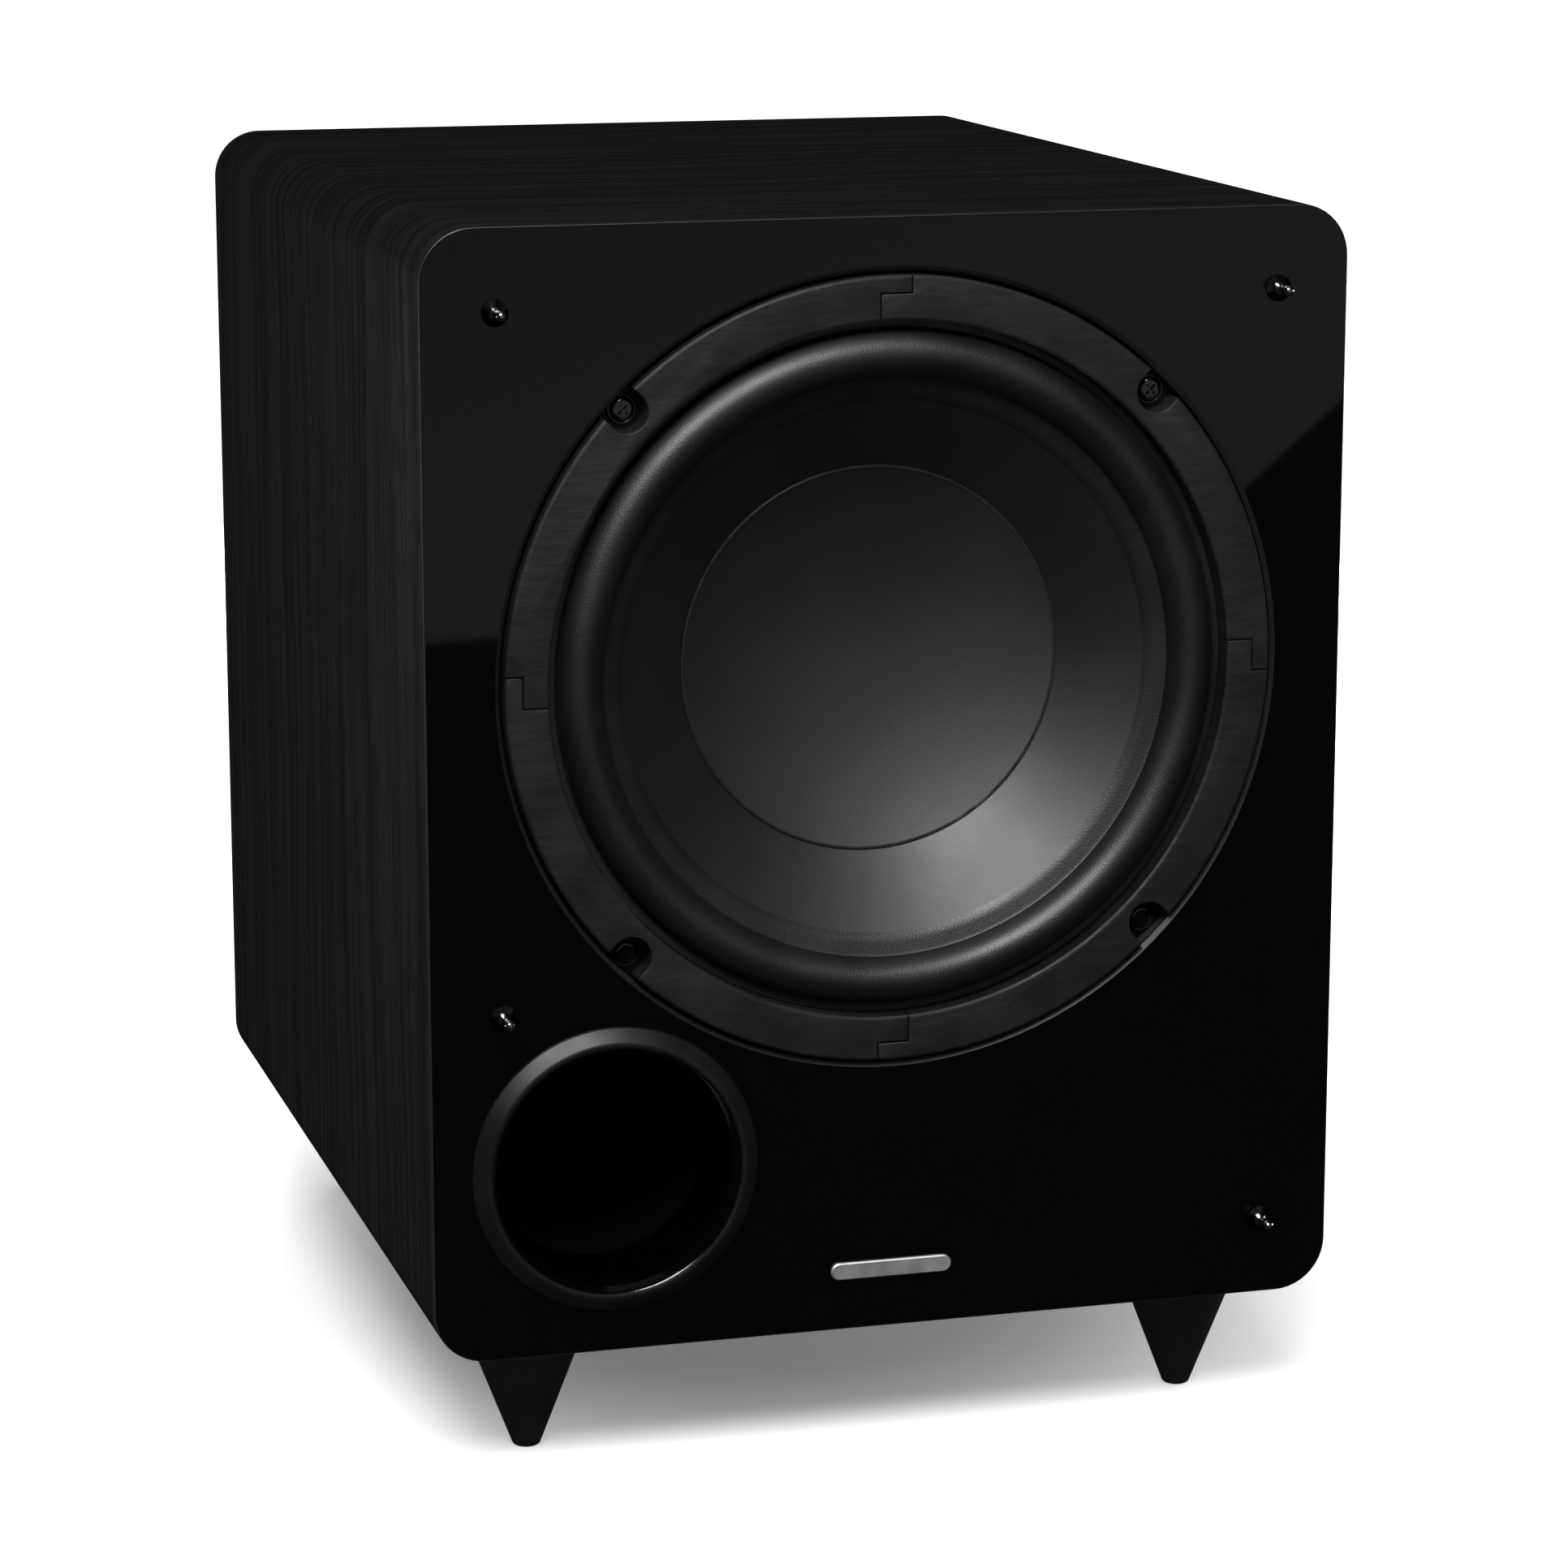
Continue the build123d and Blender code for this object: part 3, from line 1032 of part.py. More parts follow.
# ---------------------------------------------------------------- signal jacks and lamp
with BuildPart() as jack_shells:
    with BuildSketch(rear(AMP_INNER - JACK_TAIL)):
        with Locations(*JACK_PLACES):
            Circle(JACK_RADIUS)
    extrude(amount=JACK_TAIL + AMP_PLATE + JACK_PROUD)
    with BuildSketch(rear(AMP_FACE)):
        with Locations(*JACK_PLACES):
            Circle(JACK_COLLAR_RADIUS)
    extrude(amount=JACK_COLLAR)
    with BuildSketch(rear(AMP_INNER - JACK_TAIL)):
        with Locations(*JACK_PLACES):
            Circle(JACK_RADIUS - JACK_WALL)
    extrude(amount=JACK_TAIL + AMP_PLATE + JACK_PROUD, mode=Mode.SUBTRACT)
jack_shells.part.label = "jack_shells"
export_step(jack_shells.part, "parts/jack_shells.step")

with BuildPart() as jack_cores:
    with BuildSketch(rear(AMP_INNER - JACK_TAIL)):
        with Locations(*JACK_PLACES):
            Circle(JACK_RADIUS - JACK_WALL)
    extrude(amount=JACK_TAIL + AMP_PLATE + JACK_PROUD - JACK_CORE_SETBACK)
    with BuildSketch(rear(AMP_INNER)):
        with Locations(*JACK_PLACES):
            Circle(JACK_BORE_RADIUS)
    extrude(amount=AMP_PLATE + JACK_PROUD - JACK_CORE_SETBACK, mode=Mode.SUBTRACT)
jack_cores.part.label = "jack_cores"
export_step(jack_cores.part, "parts/jack_cores.step")

with BuildPart() as status_lamp:
    with BuildSketch(rear(AMP_INNER - LED_TAIL)):
        with Locations((0, LED_UP)):
            Circle(LED_RADIUS)
    extrude(amount=LED_TAIL + AMP_PLATE + LED_PROUD)
    fillet(status_lamp.faces().sort_by(Axis.Y)[-1].edges(), LED_ROUND)
status_lamp.part.label = "status_lamp"
export_step(status_lamp.part, "parts/status_lamp.step")


# ---------------------------------------------------------------- power switch
with BuildPart() as rocker_frame:
    with BuildSketch(rear(AMP_INNER - ROCKER_BODY)):
        with Locations((-CONTROL_ACROSS, ROCKER_UP)):
            Rectangle(ROCKER_FRAME_WIDTH - 2 * ROCKER_FLANGE, ROCKER_FRAME_HEIGHT - 2 * ROCKER_FLANGE)
    extrude(amount=ROCKER_BODY + AMP_PLATE)
    with BuildSketch(rear(AMP_FACE)):
        with Locations((-CONTROL_ACROSS, ROCKER_UP)):
            RectangleRounded(ROCKER_FRAME_WIDTH, ROCKER_FRAME_HEIGHT, ROCKER_FLANGE)
    extrude(amount=ROCKER_FRAME_PROUD)
    chamfer(rocker_frame.faces().sort_by(Axis.Y)[-1].edges(), ROCKER_FRAME_EDGE)
    with BuildSketch(rear(AMP_FACE - ROCKER_BODY)):
        with Locations((-CONTROL_ACROSS, ROCKER_UP)):
            Rectangle(ROCKER_OPENING_WIDTH, ROCKER_OPENING_HEIGHT)
    extrude(amount=ROCKER_BODY + ROCKER_FRAME_PROUD, mode=Mode.SUBTRACT)
rocker_frame.part.label = "rocker_frame"
export_step(rocker_frame.part, "parts/rocker_frame.step")

# The rocker's section is drawn level, outward and up from its pivot, then tipped to one side.
ROCKER_HALF = ROCKER_OPENING_HEIGHT / 2 - ROCKER_GAP - ROCKER_SWING
ROCKER_CREST = ROCKER_PIVOT + ROCKER_FRAME_PROUD + ROCKER_PROUD
ROCKER_PIVOT_POINT = (CONTROL_ACROSS, FRONT_Y + AMP_FACE - ROCKER_PIVOT, MIDDLE_Z + ROCKER_UP)
with BuildPart() as power_rocker:
    with BuildSketch(Plane(ROCKER_PIVOT_POINT, x_dir=(0, 1, 0), z_dir=(1, 0, 0))):
        with BuildLine():
            Polyline(
                (-ROCKER_SINK, -ROCKER_HALF / 2),
                (0, -ROCKER_HALF),
                (ROCKER_CREST, -ROCKER_HALF),
                (ROCKER_CREST - ROCKER_LIFT, 0),
                (ROCKER_CREST, ROCKER_HALF),
                (0, ROCKER_HALF),
                (-ROCKER_SINK, ROCKER_HALF / 2),
                close=True,
            )
        make_face()
    extrude(amount=ROCKER_OPENING_WIDTH / 2 - ROCKER_GAP, both=True)
    fillet(power_rocker.edges().filter_by(Axis.X).group_by(Axis.Y)[-1], ROCKER_ROUND)
tipped_rocker = power_rocker.part.rotate(Axis(ROCKER_PIVOT_POINT, (1, 0, 0)), ROCKER_TILT)
with BuildPart() as power_rocker:
    add(tipped_rocker)
power_rocker.part.label = "power_rocker"
export_step(power_rocker.part, "parts/power_rocker.step")


# ---------------------------------------------------------------- mains inlet
with BuildPart() as power_inlet:
    with BuildSketch(rear(AMP_FACE - INLET_BODY)):
        with Locations((CONTROL_ACROSS, INLET_UP)):
            Rectangle(INLET_BODY_WIDTH, INLET_BODY_HEIGHT)
    extrude(amount=INLET_BODY)
    with BuildSketch(rear(AMP_FACE)):
        with Locations((CONTROL_ACROSS, INLET_UP)):
            RectangleRounded(INLET_FLANGE_WIDTH, INLET_FLANGE_HEIGHT, INLET_CORNER)
    extrude(amount=INLET_FLANGE)
    chamfer(power_inlet.faces().sort_by(Axis.Y)[-1].edges(), INLET_EDGE)
    with BuildSketch(rear(AMP_FACE + INLET_FLANGE - SOCKET)):
        with Locations((CONTROL_ACROSS, INLET_UP + SOCKET_RISE)):
            Rectangle(SOCKET_WIDTH, SOCKET_HEIGHT)
    extrude(amount=SOCKET, mode=Mode.SUBTRACT)
    with BuildSketch(rear(AMP_FACE + INLET_FLANGE - DRAWER_LENGTH - SLIDING_CLEARANCE)):
        with Locations((CONTROL_ACROSS, INLET_UP - DRAWER_DROP)):
            Rectangle(DRAWER_WIDTH + 2 * SLIDING_CLEARANCE, DRAWER_HEIGHT + 2 * SLIDING_CLEARANCE)
    extrude(amount=DRAWER_LENGTH + SLIDING_CLEARANCE, mode=Mode.SUBTRACT)
power_inlet.part.label = "power_inlet"
export_step(power_inlet.part, "parts/power_inlet.step")

# Line and neutral stand side by side, and earth stands above them.
PRONG_LENGTH = SOCKET - PRONG_SHORT
with BuildPart() as inlet_prongs:
    with BuildSketch(rear(AMP_FACE + INLET_FLANGE - SOCKET)):
        with Locations(
            (CONTROL_ACROSS - PRONG_PITCH, INLET_UP + SOCKET_RISE - PRONG_STAGGER),
            (CONTROL_ACROSS + PRONG_PITCH, INLET_UP + SOCKET_RISE - PRONG_STAGGER),
            (CONTROL_ACROSS, INLET_UP + SOCKET_RISE + PRONG_STAGGER),
        ):
            Rectangle(PRONG_WIDTH, PRONG_HEIGHT)
    extrude(amount=PRONG_LENGTH)
    chamfer(inlet_prongs.faces().group_by(Axis.Y)[-1].edges(), PRONG_EDGE)
inlet_prongs.part.label = "inlet_prongs"
export_step(inlet_prongs.part, "parts/inlet_prongs.step")

with BuildPart() as fuse_drawer:
    with BuildSketch(rear(AMP_FACE + INLET_FLANGE - DRAWER_LENGTH)):
        with Locations((CONTROL_ACROSS, INLET_UP - DRAWER_DROP)):
            Rectangle(DRAWER_WIDTH, DRAWER_HEIGHT)
    extrude(amount=DRAWER_LENGTH + DRAWER_LIP)
    with BuildSketch(rear(AMP_FACE + INLET_FLANGE - DRAWER_LENGTH + DRAWER_END)):
        with Locations((CONTROL_ACROSS, INLET_UP - DRAWER_DROP + DRAWER_FLOOR)):
            Rectangle(DRAWER_WIDTH - 2 * DRAWER_WALL, DRAWER_HEIGHT)
    extrude(amount=DRAWER_LENGTH - DRAWER_END - DRAWER_FACE, mode=Mode.SUBTRACT)
fuse_drawer.part.label = "fuse_drawer"
export_step(fuse_drawer.part, "parts/fuse_drawer.step")


# ---------------------------------------------------------------- electronics inside
BOARD_DEPTH = AMP_INNER - BOARD_SETBACK
with BuildPart() as circuit_board:
    with BuildSketch(rear(BOARD_DEPTH - BOARD)):
        with Locations((0, BOARD_UP)):
            Rectangle(BOARD_WIDTH, BOARD_HEIGHT)
    extrude(amount=BOARD)
circuit_board.part.label = "circuit_board"
export_step(circuit_board.part, "parts/circuit_board.step")

with BuildPart() as capacitors:
    with BuildSketch(rear(BOARD_DEPTH - BOARD)):
        with Locations((0, BOARD_UP)):
            with GridLocations(CAPACITOR_PITCH, 0, CAPACITOR_COUNT, 1):
                Circle(CAPACITOR_RADIUS)
    extrude(amount=-CAPACITOR_LENGTH)
    chamfer(capacitors.faces().group_by(Axis.Y)[0].edges(), CAPACITOR_EDGE)
capacitors.part.label = "capacitors"
export_step(capacitors.part, "parts/capacitors.step")

with BuildPart() as power_transformer:
    with BuildSketch(rear(AMP_INNER - TOROID)):
        with Locations((0, TOROID_UP)):
            Circle(TOROID_RADIUS)
            Circle(TOROID_HOLE_RADIUS, mode=Mode.SUBTRACT)
    extrude(amount=TOROID)
    fillet(power_transformer.edges().filter_by(GeomType.CIRCLE).group_by(Axis.Y)[0], TOROID_ROUND)
power_transformer.part.label = "power_transformer"
export_step(power_transformer.part, "parts/power_transformer.step")

# The two speaker leads run from the terminal board, back through the brace, to the circuit board.
LEAD_END_Z = MIDDLE_Z + BOARD_UP - BOARD_HEIGHT / 2 + LEAD_PAD
LEAD_START_DEPTH = TERMINAL_DEPTH + TERMINAL_BOARD
LEAD_LOW_Z = TERMINAL_Z - LEAD_DROP
with BuildPart() as speaker_leads:
    for lead_x in (-LEAD_PITCH / 2, LEAD_PITCH / 2):
        with BuildLine(Plane((lead_x, FRONT_Y, 0), x_dir=(0, 1, 0), z_dir=(1, 0, 0))) as route:
            FilletPolyline(
                (LEAD_START_DEPTH, TERMINAL_Z + TERMINAL_TAG),
                (LEAD_START_DEPTH + LEAD_STRAIGHT, TERMINAL_Z + TERMINAL_TAG),
                (LEAD_START_DEPTH + 2 * LEAD_STRAIGHT, LEAD_LOW_Z),
                (BRACE_SETBACK + BRACE + LEAD_STRAIGHT, LEAD_LOW_Z),
                (BOARD_DEPTH - BOARD - LEAD_STRAIGHT, LEAD_END_Z),
                (BOARD_DEPTH - BOARD, LEAD_END_Z),
                radius=LEAD_BEND,
            )
        with BuildSketch(Plane(origin=route.line @ 0, z_dir=route.line % 0)):
            Circle(LEAD_RADIUS)
        sweep(path=route.line)
speaker_leads.part.label = "speaker_leads"
export_step(speaker_leads.part, "parts/speaker_leads.step")
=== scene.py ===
import math

import bmesh
import bpy
from mathutils import Matrix, Vector


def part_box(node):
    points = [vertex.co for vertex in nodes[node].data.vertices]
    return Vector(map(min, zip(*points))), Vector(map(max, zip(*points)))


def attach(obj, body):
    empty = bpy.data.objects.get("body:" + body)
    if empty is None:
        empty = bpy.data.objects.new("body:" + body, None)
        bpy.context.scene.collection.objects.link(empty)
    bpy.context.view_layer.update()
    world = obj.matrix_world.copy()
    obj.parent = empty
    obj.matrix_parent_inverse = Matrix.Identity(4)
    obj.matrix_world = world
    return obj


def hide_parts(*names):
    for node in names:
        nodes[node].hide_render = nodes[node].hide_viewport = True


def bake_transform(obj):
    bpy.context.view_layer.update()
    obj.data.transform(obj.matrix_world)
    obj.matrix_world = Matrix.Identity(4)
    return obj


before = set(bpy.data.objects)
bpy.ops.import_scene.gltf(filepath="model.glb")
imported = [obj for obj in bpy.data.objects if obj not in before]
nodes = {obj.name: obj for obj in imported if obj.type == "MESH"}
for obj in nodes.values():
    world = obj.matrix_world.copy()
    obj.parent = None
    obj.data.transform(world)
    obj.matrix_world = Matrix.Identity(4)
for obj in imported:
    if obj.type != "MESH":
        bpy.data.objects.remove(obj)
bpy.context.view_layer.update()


# -------- view
# The camera stands to the left of the front, a little above the cabinet, and looks slightly down
# through a long lens.
VIEW_PLACE = (-0.4709, -1.7318, 0.5821)
VIEW_TURN = 15.824
VIEW_DROP = 12.227
VIEW_LENS = 111.5

view_data = bpy.data.cameras.new("view")
view_data.sensor_width = 36
view_data.lens = VIEW_LENS
view_data.clip_end = 60
view_camera = bpy.data.objects.new("view", view_data)
view_camera.location = VIEW_PLACE
view_camera.rotation_euler = (math.radians(90 - VIEW_DROP), 0, -math.radians(VIEW_TURN))
bpy.context.scene.collection.objects.link(view_camera)
bpy.context.scene.camera = view_camera
bpy.context.scene.view_settings.view_transform = "Standard"


# -------- studio
# A pale floor, white from FLOOR_FAR outwards like the surround and dimmed towards the cabinet as a
# painted shadow round its base, with a soft key light high on the left of the front and weak fills
# for the other sides. Gloss parts mirror only the lights and one dim board.
FLOOR_SIZE = 30.0
FLOOR_WHITE = (0.85, 0.85, 0.85, 1)
FLOOR_SHADOW_GLOW = 0.08
FLOOR_NEAR = 0.1
FLOOR_FAR = 0.38
FLOOR_BOUNCE = 0.25
SURROUND_FILL = 0.26
SURROUND_MIRRORED = 0.012
WHITE = (1, 1, 1, 1)
MIDDLE = Vector((0, 0, 0.24))


def add_nodes(tree, kinds):
    """Adds shader nodes from {name: kind} and returns them by name."""
    return {name: tree.nodes.new("ShaderNode" + kind) for name, kind in kinds.items()}


def join(tree, *pairs):
    """Links each output to each input in a node tree."""
    for source, target in pairs:
        tree.links.new(source, target)


def soft_light(name, place, wide, tall, power):
    """A soft box, wide by tall, that stands at place and faces the middle of the cabinet."""
    light = bpy.data.lights.new(name, "AREA")
    light.shape = "RECTANGLE"
    light.size = wide
    light.size_y = tall
    light.energy = power
    stand = bpy.data.objects.new(name, light)
    stand.location = place
    stand.rotation_mode = "QUATERNION"
    stand.rotation_quaternion = (MIDDLE - Vector(place)).to_track_quat("-Z", "Y")
    stand.visible_camera = False
    bpy.context.scene.collection.objects.link(stand)


for name, place, wide, tall, power in (
    ("key_light", (-0.66, -1.86, 2.18), 1.4, 1.0, 84),
    ("top_light", (0, 0, 2.4), 1.6, 1.6, 1),
    ("left_light", (-1.7, 0.55, 0.22), 1.0, 0.3, 3.5),
    ("rear_light", (0.7, 1.6, 0.24), 1.2, 0.3, 24),
    ("right_light", (1.8, 0.4, 0.24), 1.2, 0.3, 16),
):
    soft_light(name, place, wide, tall, power)

surround_world = bpy.data.worlds.new("surround_world")
surround_world.use_nodes = True
world_tree = surround_world.node_tree
world_tree.nodes.clear()
made = add_nodes(world_tree, {
    "ray": "LightPath", "seen": "Background", "fill": "Background", "mirrored": "Background",
    "gloss_mix": "MixShader", "seen_mix": "MixShader", "out": "OutputWorld",
})
for label, strength in (("seen", 1), ("fill", SURROUND_FILL), ("mirrored", SURROUND_MIRRORED)):
    made[label].inputs["Color"].default_value = WHITE
    made[label].inputs["Strength"].default_value = strength
join(
    world_tree,
    (made["ray"].outputs["Is Glossy Ray"], made["gloss_mix"].inputs[0]),
    (made["fill"].outputs[0], made["gloss_mix"].inputs[1]),
    (made["mirrored"].outputs[0], made["gloss_mix"].inputs[2]),
    (made["ray"].outputs["Is Camera Ray"], made["seen_mix"].inputs[0]),
    (made["gloss_mix"].outputs[0], made["seen_mix"].inputs[1]),
    (made["seen"].outputs[0], made["seen_mix"].inputs[2]),
    (made["seen_mix"].outputs[0], made["out"].inputs[0]),
)
bpy.context.scene.world = surround_world


def flat_sheet(name, corners):
    """A flat face through these corners."""
    build = bmesh.new()
    build.faces.new([build.verts.new(corner) for corner in corners])
    mesh = bpy.data.meshes.new(name)
    build.to_mesh(mesh)
    build.free()
    sheet = bpy.data.objects.new(name, mesh)
    bpy.context.scene.collection.objects.link(sheet)
    return sheet


half = FLOOR_SIZE / 2
floor_corners = [(-half, -half, 0), (half, -half, 0), (half, half, 0), (-half, half, 0)]
floor = flat_sheet("floor", floor_corners)
floor.visible_glossy = False
floor_paper = bpy.data.materials.new("floor_paper")
floor_paper.use_nodes = True
floor_tree = floor_paper.node_tree
floor_tree.nodes.clear()
made = add_nodes(floor_tree, {
    "paper": "BsdfDiffuse", "glow": "Emission", "sum": "AddShader", "out": "OutputMaterial",
    "place": "TexCoord", "far": "VectorMath", "fade": "MapRange", "ray": "LightPath",
    "strength": "Mix",
})
made["paper"].inputs["Color"].default_value = FLOOR_WHITE
made["far"].operation = "LENGTH"
made["fade"].interpolation_type = "SMOOTHSTEP"
# Seen by the camera, the floor's glow is weak near the cabinet and full further out: a painted
# shadow round its base.
made["fade"].inputs["From Min"].default_value = FLOOR_NEAR
made["fade"].inputs["From Max"].default_value = FLOOR_FAR
made["fade"].inputs["To Min"].default_value = FLOOR_SHADOW_GLOW
made["strength"].inputs[2].default_value = FLOOR_BOUNCE
join(
    floor_tree,
    (made["place"].outputs["Object"], made["far"].inputs[0]),
    (made["far"].outputs["Value"], made["fade"].inputs["Value"]),
    (made["ray"].outputs["Is Camera Ray"], made["strength"].inputs[0]),
    (made["fade"].outputs[0], made["strength"].inputs[3]),
    (made["strength"].outputs[0], made["glow"].inputs["Strength"]),
    (made["paper"].outputs[0], made["sum"].inputs[0]),
    (made["glow"].outputs[0], made["sum"].inputs[1]),
    (made["sum"].outputs[0], made["out"].inputs[0]),
)
floor.data.materials.append(floor_paper)

# The board stands in front of the cabinet, out of the camera's sight, and fades upwards from its
# slanting lower edge.
BOARD_Y = -1.1049
BOARD_EDGE = [(-0.5, 0.112), (0.41, 0.129), (0.70, 0.372), (0.95, 0.60)]
BOARD_TOP = [(0.95, 0.9), (-0.5, 0.9)]
BOARD_GLOW = 0.25
BOARD_FADED = 0.0875
FADE_ALONG = (-0.35, 0, 0.94)
FADE_START = 0.10
FADE_END = 0.52
board = flat_sheet("upper_board", [(x, BOARD_Y, z) for x, z in BOARD_EDGE + BOARD_TOP])
board.visible_camera = False
board.visible_diffuse = False
board.visible_shadow = False
board.visible_transmission = False
board_light = bpy.data.materials.new("upper_board")
board_light.use_nodes = True
board_tree = board_light.node_tree
board_tree.nodes.clear()
made = add_nodes(board_tree, {
    "place": "TexCoord", "along": "VectorMath", "fade": "MapRange", "glow": "Emission",
    "out": "OutputMaterial",
})
made["along"].operation = "DOT_PRODUCT"
made["along"].inputs[1].default_value = FADE_ALONG
for label, value in (
    ("From Min", FADE_START), ("From Max", FADE_END),
    ("To Min", BOARD_GLOW), ("To Max", BOARD_FADED),
):
    made["fade"].inputs[label].default_value = value
join(
    board_tree,
    (made["place"].outputs["Object"], made["along"].inputs[0]),
    (made["along"].outputs["Value"], made["fade"].inputs["Value"]),
    (made["fade"].outputs[0], made["glow"].inputs["Strength"]),
    (made["glow"].outputs[0], made["out"].inputs[0]),
)
board.data.materials.append(board_light)


# -------- carcass
# Six boards of 16 and 18 mm MDF, glued at rebates. The top, side and front boards are raw brown
# inside, and sealed with black paint on the rear edges and round the driver and port openings. The
# back board is painted black outside; its inside, the bottom board and the window brace are
# near-black all over as painted shade, so the cabinet seen through the port stays dark.
def new_group(name, values, results):
    """An empty shader group with number or vector inputs and the named outputs."""
    group = bpy.data.node_groups.new(name, "ShaderNodeTree")
    for label, start in values.items():
        kind = "NodeSocketVector" if start is None else "NodeSocketFloat"
        socket = group.interface.new_socket(label, in_out="INPUT", socket_type=kind)
        if start is not None:
            socket.default_value = start
    for label in results:
        group.interface.new_socket(label, in_out="OUTPUT", socket_type="NodeSocketFloat")
    return group


# Every moulded, painted or plated surface has a fine tooth, a slow unevenness and specks of dust.
DUST_PER_METRE = 260
SPECK_EDGE = 0.07
SPECK_CORE = 0.04
tooth = new_group("tooth", {"Place": None, "Fine": 1500.0, "Slow": 30.0},
                  ["Tooth", "Cloud", "Specks"])
made = add_nodes(tooth, {
    "fine": "TexNoise", "slow": "TexNoise", "dust": "TexVoronoi", "cut": "MapRange",
})
tooth_in = tooth.nodes.new("NodeGroupInput")
tooth_out = tooth.nodes.new("NodeGroupOutput")
made["fine"].inputs["Detail"].default_value = 3
made["slow"].inputs["Detail"].default_value = 2
made["dust"].inputs["Scale"].default_value = DUST_PER_METRE
made["cut"].inputs["From Min"].default_value = SPECK_EDGE
made["cut"].inputs["From Max"].default_value = SPECK_CORE
join(
    tooth,
    (tooth_in.outputs["Place"], made["fine"].inputs["Vector"]),
    (tooth_in.outputs["Fine"], made["fine"].inputs["Scale"]),
    (tooth_in.outputs["Place"], made["slow"].inputs["Vector"]),
    (tooth_in.outputs["Slow"], made["slow"].inputs["Scale"]),
    (tooth_in.outputs["Place"], made["dust"].inputs["Vector"]),
    (made["dust"].outputs["Distance"], made["cut"].inputs["Value"]),
    (made["fine"].outputs["Fac"], tooth_out.inputs["Tooth"]),
    (made["slow"].outputs["Fac"], tooth_out.inputs["Cloud"]),
    (made["cut"].outputs[0], tooth_out.inputs["Specks"]),
)


def grey(level):
    """A neutral colour."""
    return (level, level, level, 1)


def finish(name, dark, light, smooth, rough, metal=0.0, fine=1500.0, slow=30.0, relief=0.00001,
           dust=0.0, gloss=0.5):
    """A surface whose colour runs from dark to light and whose roughness runs from smooth to rough.

    fine and slow are waves per metre, relief is the height of the tooth in metres, dust is how much
    rougher a speck of dust is, and gloss is the specular level.
    """
    material = bpy.data.materials.new(name)
    material.use_nodes = True
    tree = material.node_tree
    shader = tree.nodes["Principled BSDF"]
    parts = add_nodes(tree, {
        "place": "TexCoord", "tooth": "Group", "colour": "Mix", "rough": "MapRange",
        "dusty": "Math", "bump": "Bump",
    })
    parts["tooth"].node_tree = tooth
    parts["tooth"].inputs["Fine"].default_value = fine
    parts["tooth"].inputs["Slow"].default_value = slow
    parts["colour"].data_type = "RGBA"
    parts["colour"].inputs[6].default_value = dark
    parts["colour"].inputs[7].default_value = light
    for label, value in (
        ("From Min", 0.3), ("From Max", 0.7), ("To Min", smooth), ("To Max", rough),
    ):
        parts["rough"].inputs[label].default_value = value
    parts["dusty"].operation = "MULTIPLY_ADD"
    parts["dusty"].inputs[1].default_value = dust
    parts["bump"].inputs["Distance"].default_value = relief
    parts["bump"].inputs["Strength"].default_value = 1
    join(
        tree,
        (parts["place"].outputs["Object"], parts["tooth"].inputs["Place"]),
        (parts["tooth"].outputs["Cloud"], parts["colour"].inputs[0]),
        (parts["colour"].outputs[2], shader.inputs["Base Color"]),
        (parts["tooth"].outputs["Cloud"], parts["rough"].inputs["Value"]),
        (parts["tooth"].outputs["Specks"], parts["dusty"].inputs[0]),
        (parts["rough"].outputs[0], parts["dusty"].inputs[2]),
        (parts["dusty"].outputs[0], shader.inputs["Roughness"]),
        (parts["tooth"].outputs["Tooth"], parts["bump"].inputs["Height"]),
        (parts["bump"].outputs[0], shader.inputs["Normal"]),
    )
    shader.inputs["Metallic"].default_value = metal
    shader.inputs["Specular IOR Level"].default_value = gloss
    return material


def dress(material, *names):
    """Gives CAD nodes this material."""
    for name in names:
        for place in nodes[name].material_slots:
            place.material = material


def tree_of(material):
    """A material's node tree and the shader in it."""
    return material.node_tree, material.node_tree.nodes["Principled BSDF"]


def socket_before(material, label):
    """The output that feeds this input of the material's shader."""
    return tree_of(material)[1].inputs[label].links[0].from_socket


def blend_colour(material, mask, colour):
    """Lays another colour over the material's own where mask is 1."""
    tree, shader = tree_of(material)
    under = socket_before(material, "Base Color")
    mix = tree.nodes.new("ShaderNodeMix")
    mix.data_type = "RGBA"
    mix.inputs[7].default_value = colour
    join(tree, (mask, mix.inputs[0]), (under, mix.inputs[6]),
         (mix.outputs[2], shader.inputs["Base Color"]))


def position(material):
    """Separated object coordinates of a material: X, Y and Z outputs."""
    made = add_nodes(material.node_tree, {"place": "TexCoord", "split": "SeparateXYZ"})
    join(material.node_tree, (made["place"].outputs["Object"], made["split"].inputs[0]))
    return made["split"].outputs


def sum_of(material, operation, first, second):
    """One Math node: operation on two sockets or numbers."""
    node = material.node_tree.nodes.new("ShaderNodeMath")
    node.operation = operation
    for place, value in zip(node.inputs, (first, second)):
        if isinstance(value, (int, float)):
            place.default_value = value
        else:
            material.node_tree.links.new(value, place)
    return node.outputs[0]


SEALED_FRONT_Y = -0.184
SEALED_BACK_Y = 0.1946
mdf = finish("mdf", (0.26, 0.17, 0.09, 1), (0.36, 0.25, 0.14, 1), 0.75, 0.9, fine=900, slow=60,
             relief=0.00006)
along = position(mdf)["Y"]
sealed = sum_of(
    mdf, "MAXIMUM",
    sum_of(mdf, "LESS_THAN", along, SEALED_FRONT_Y),
    sum_of(mdf, "GREATER_THAN", along, SEALED_BACK_Y),
)
blend_colour(mdf, sealed, grey(0.012))
dress(mdf, "top_panel", "left_panel", "right_panel", "front_baffle")
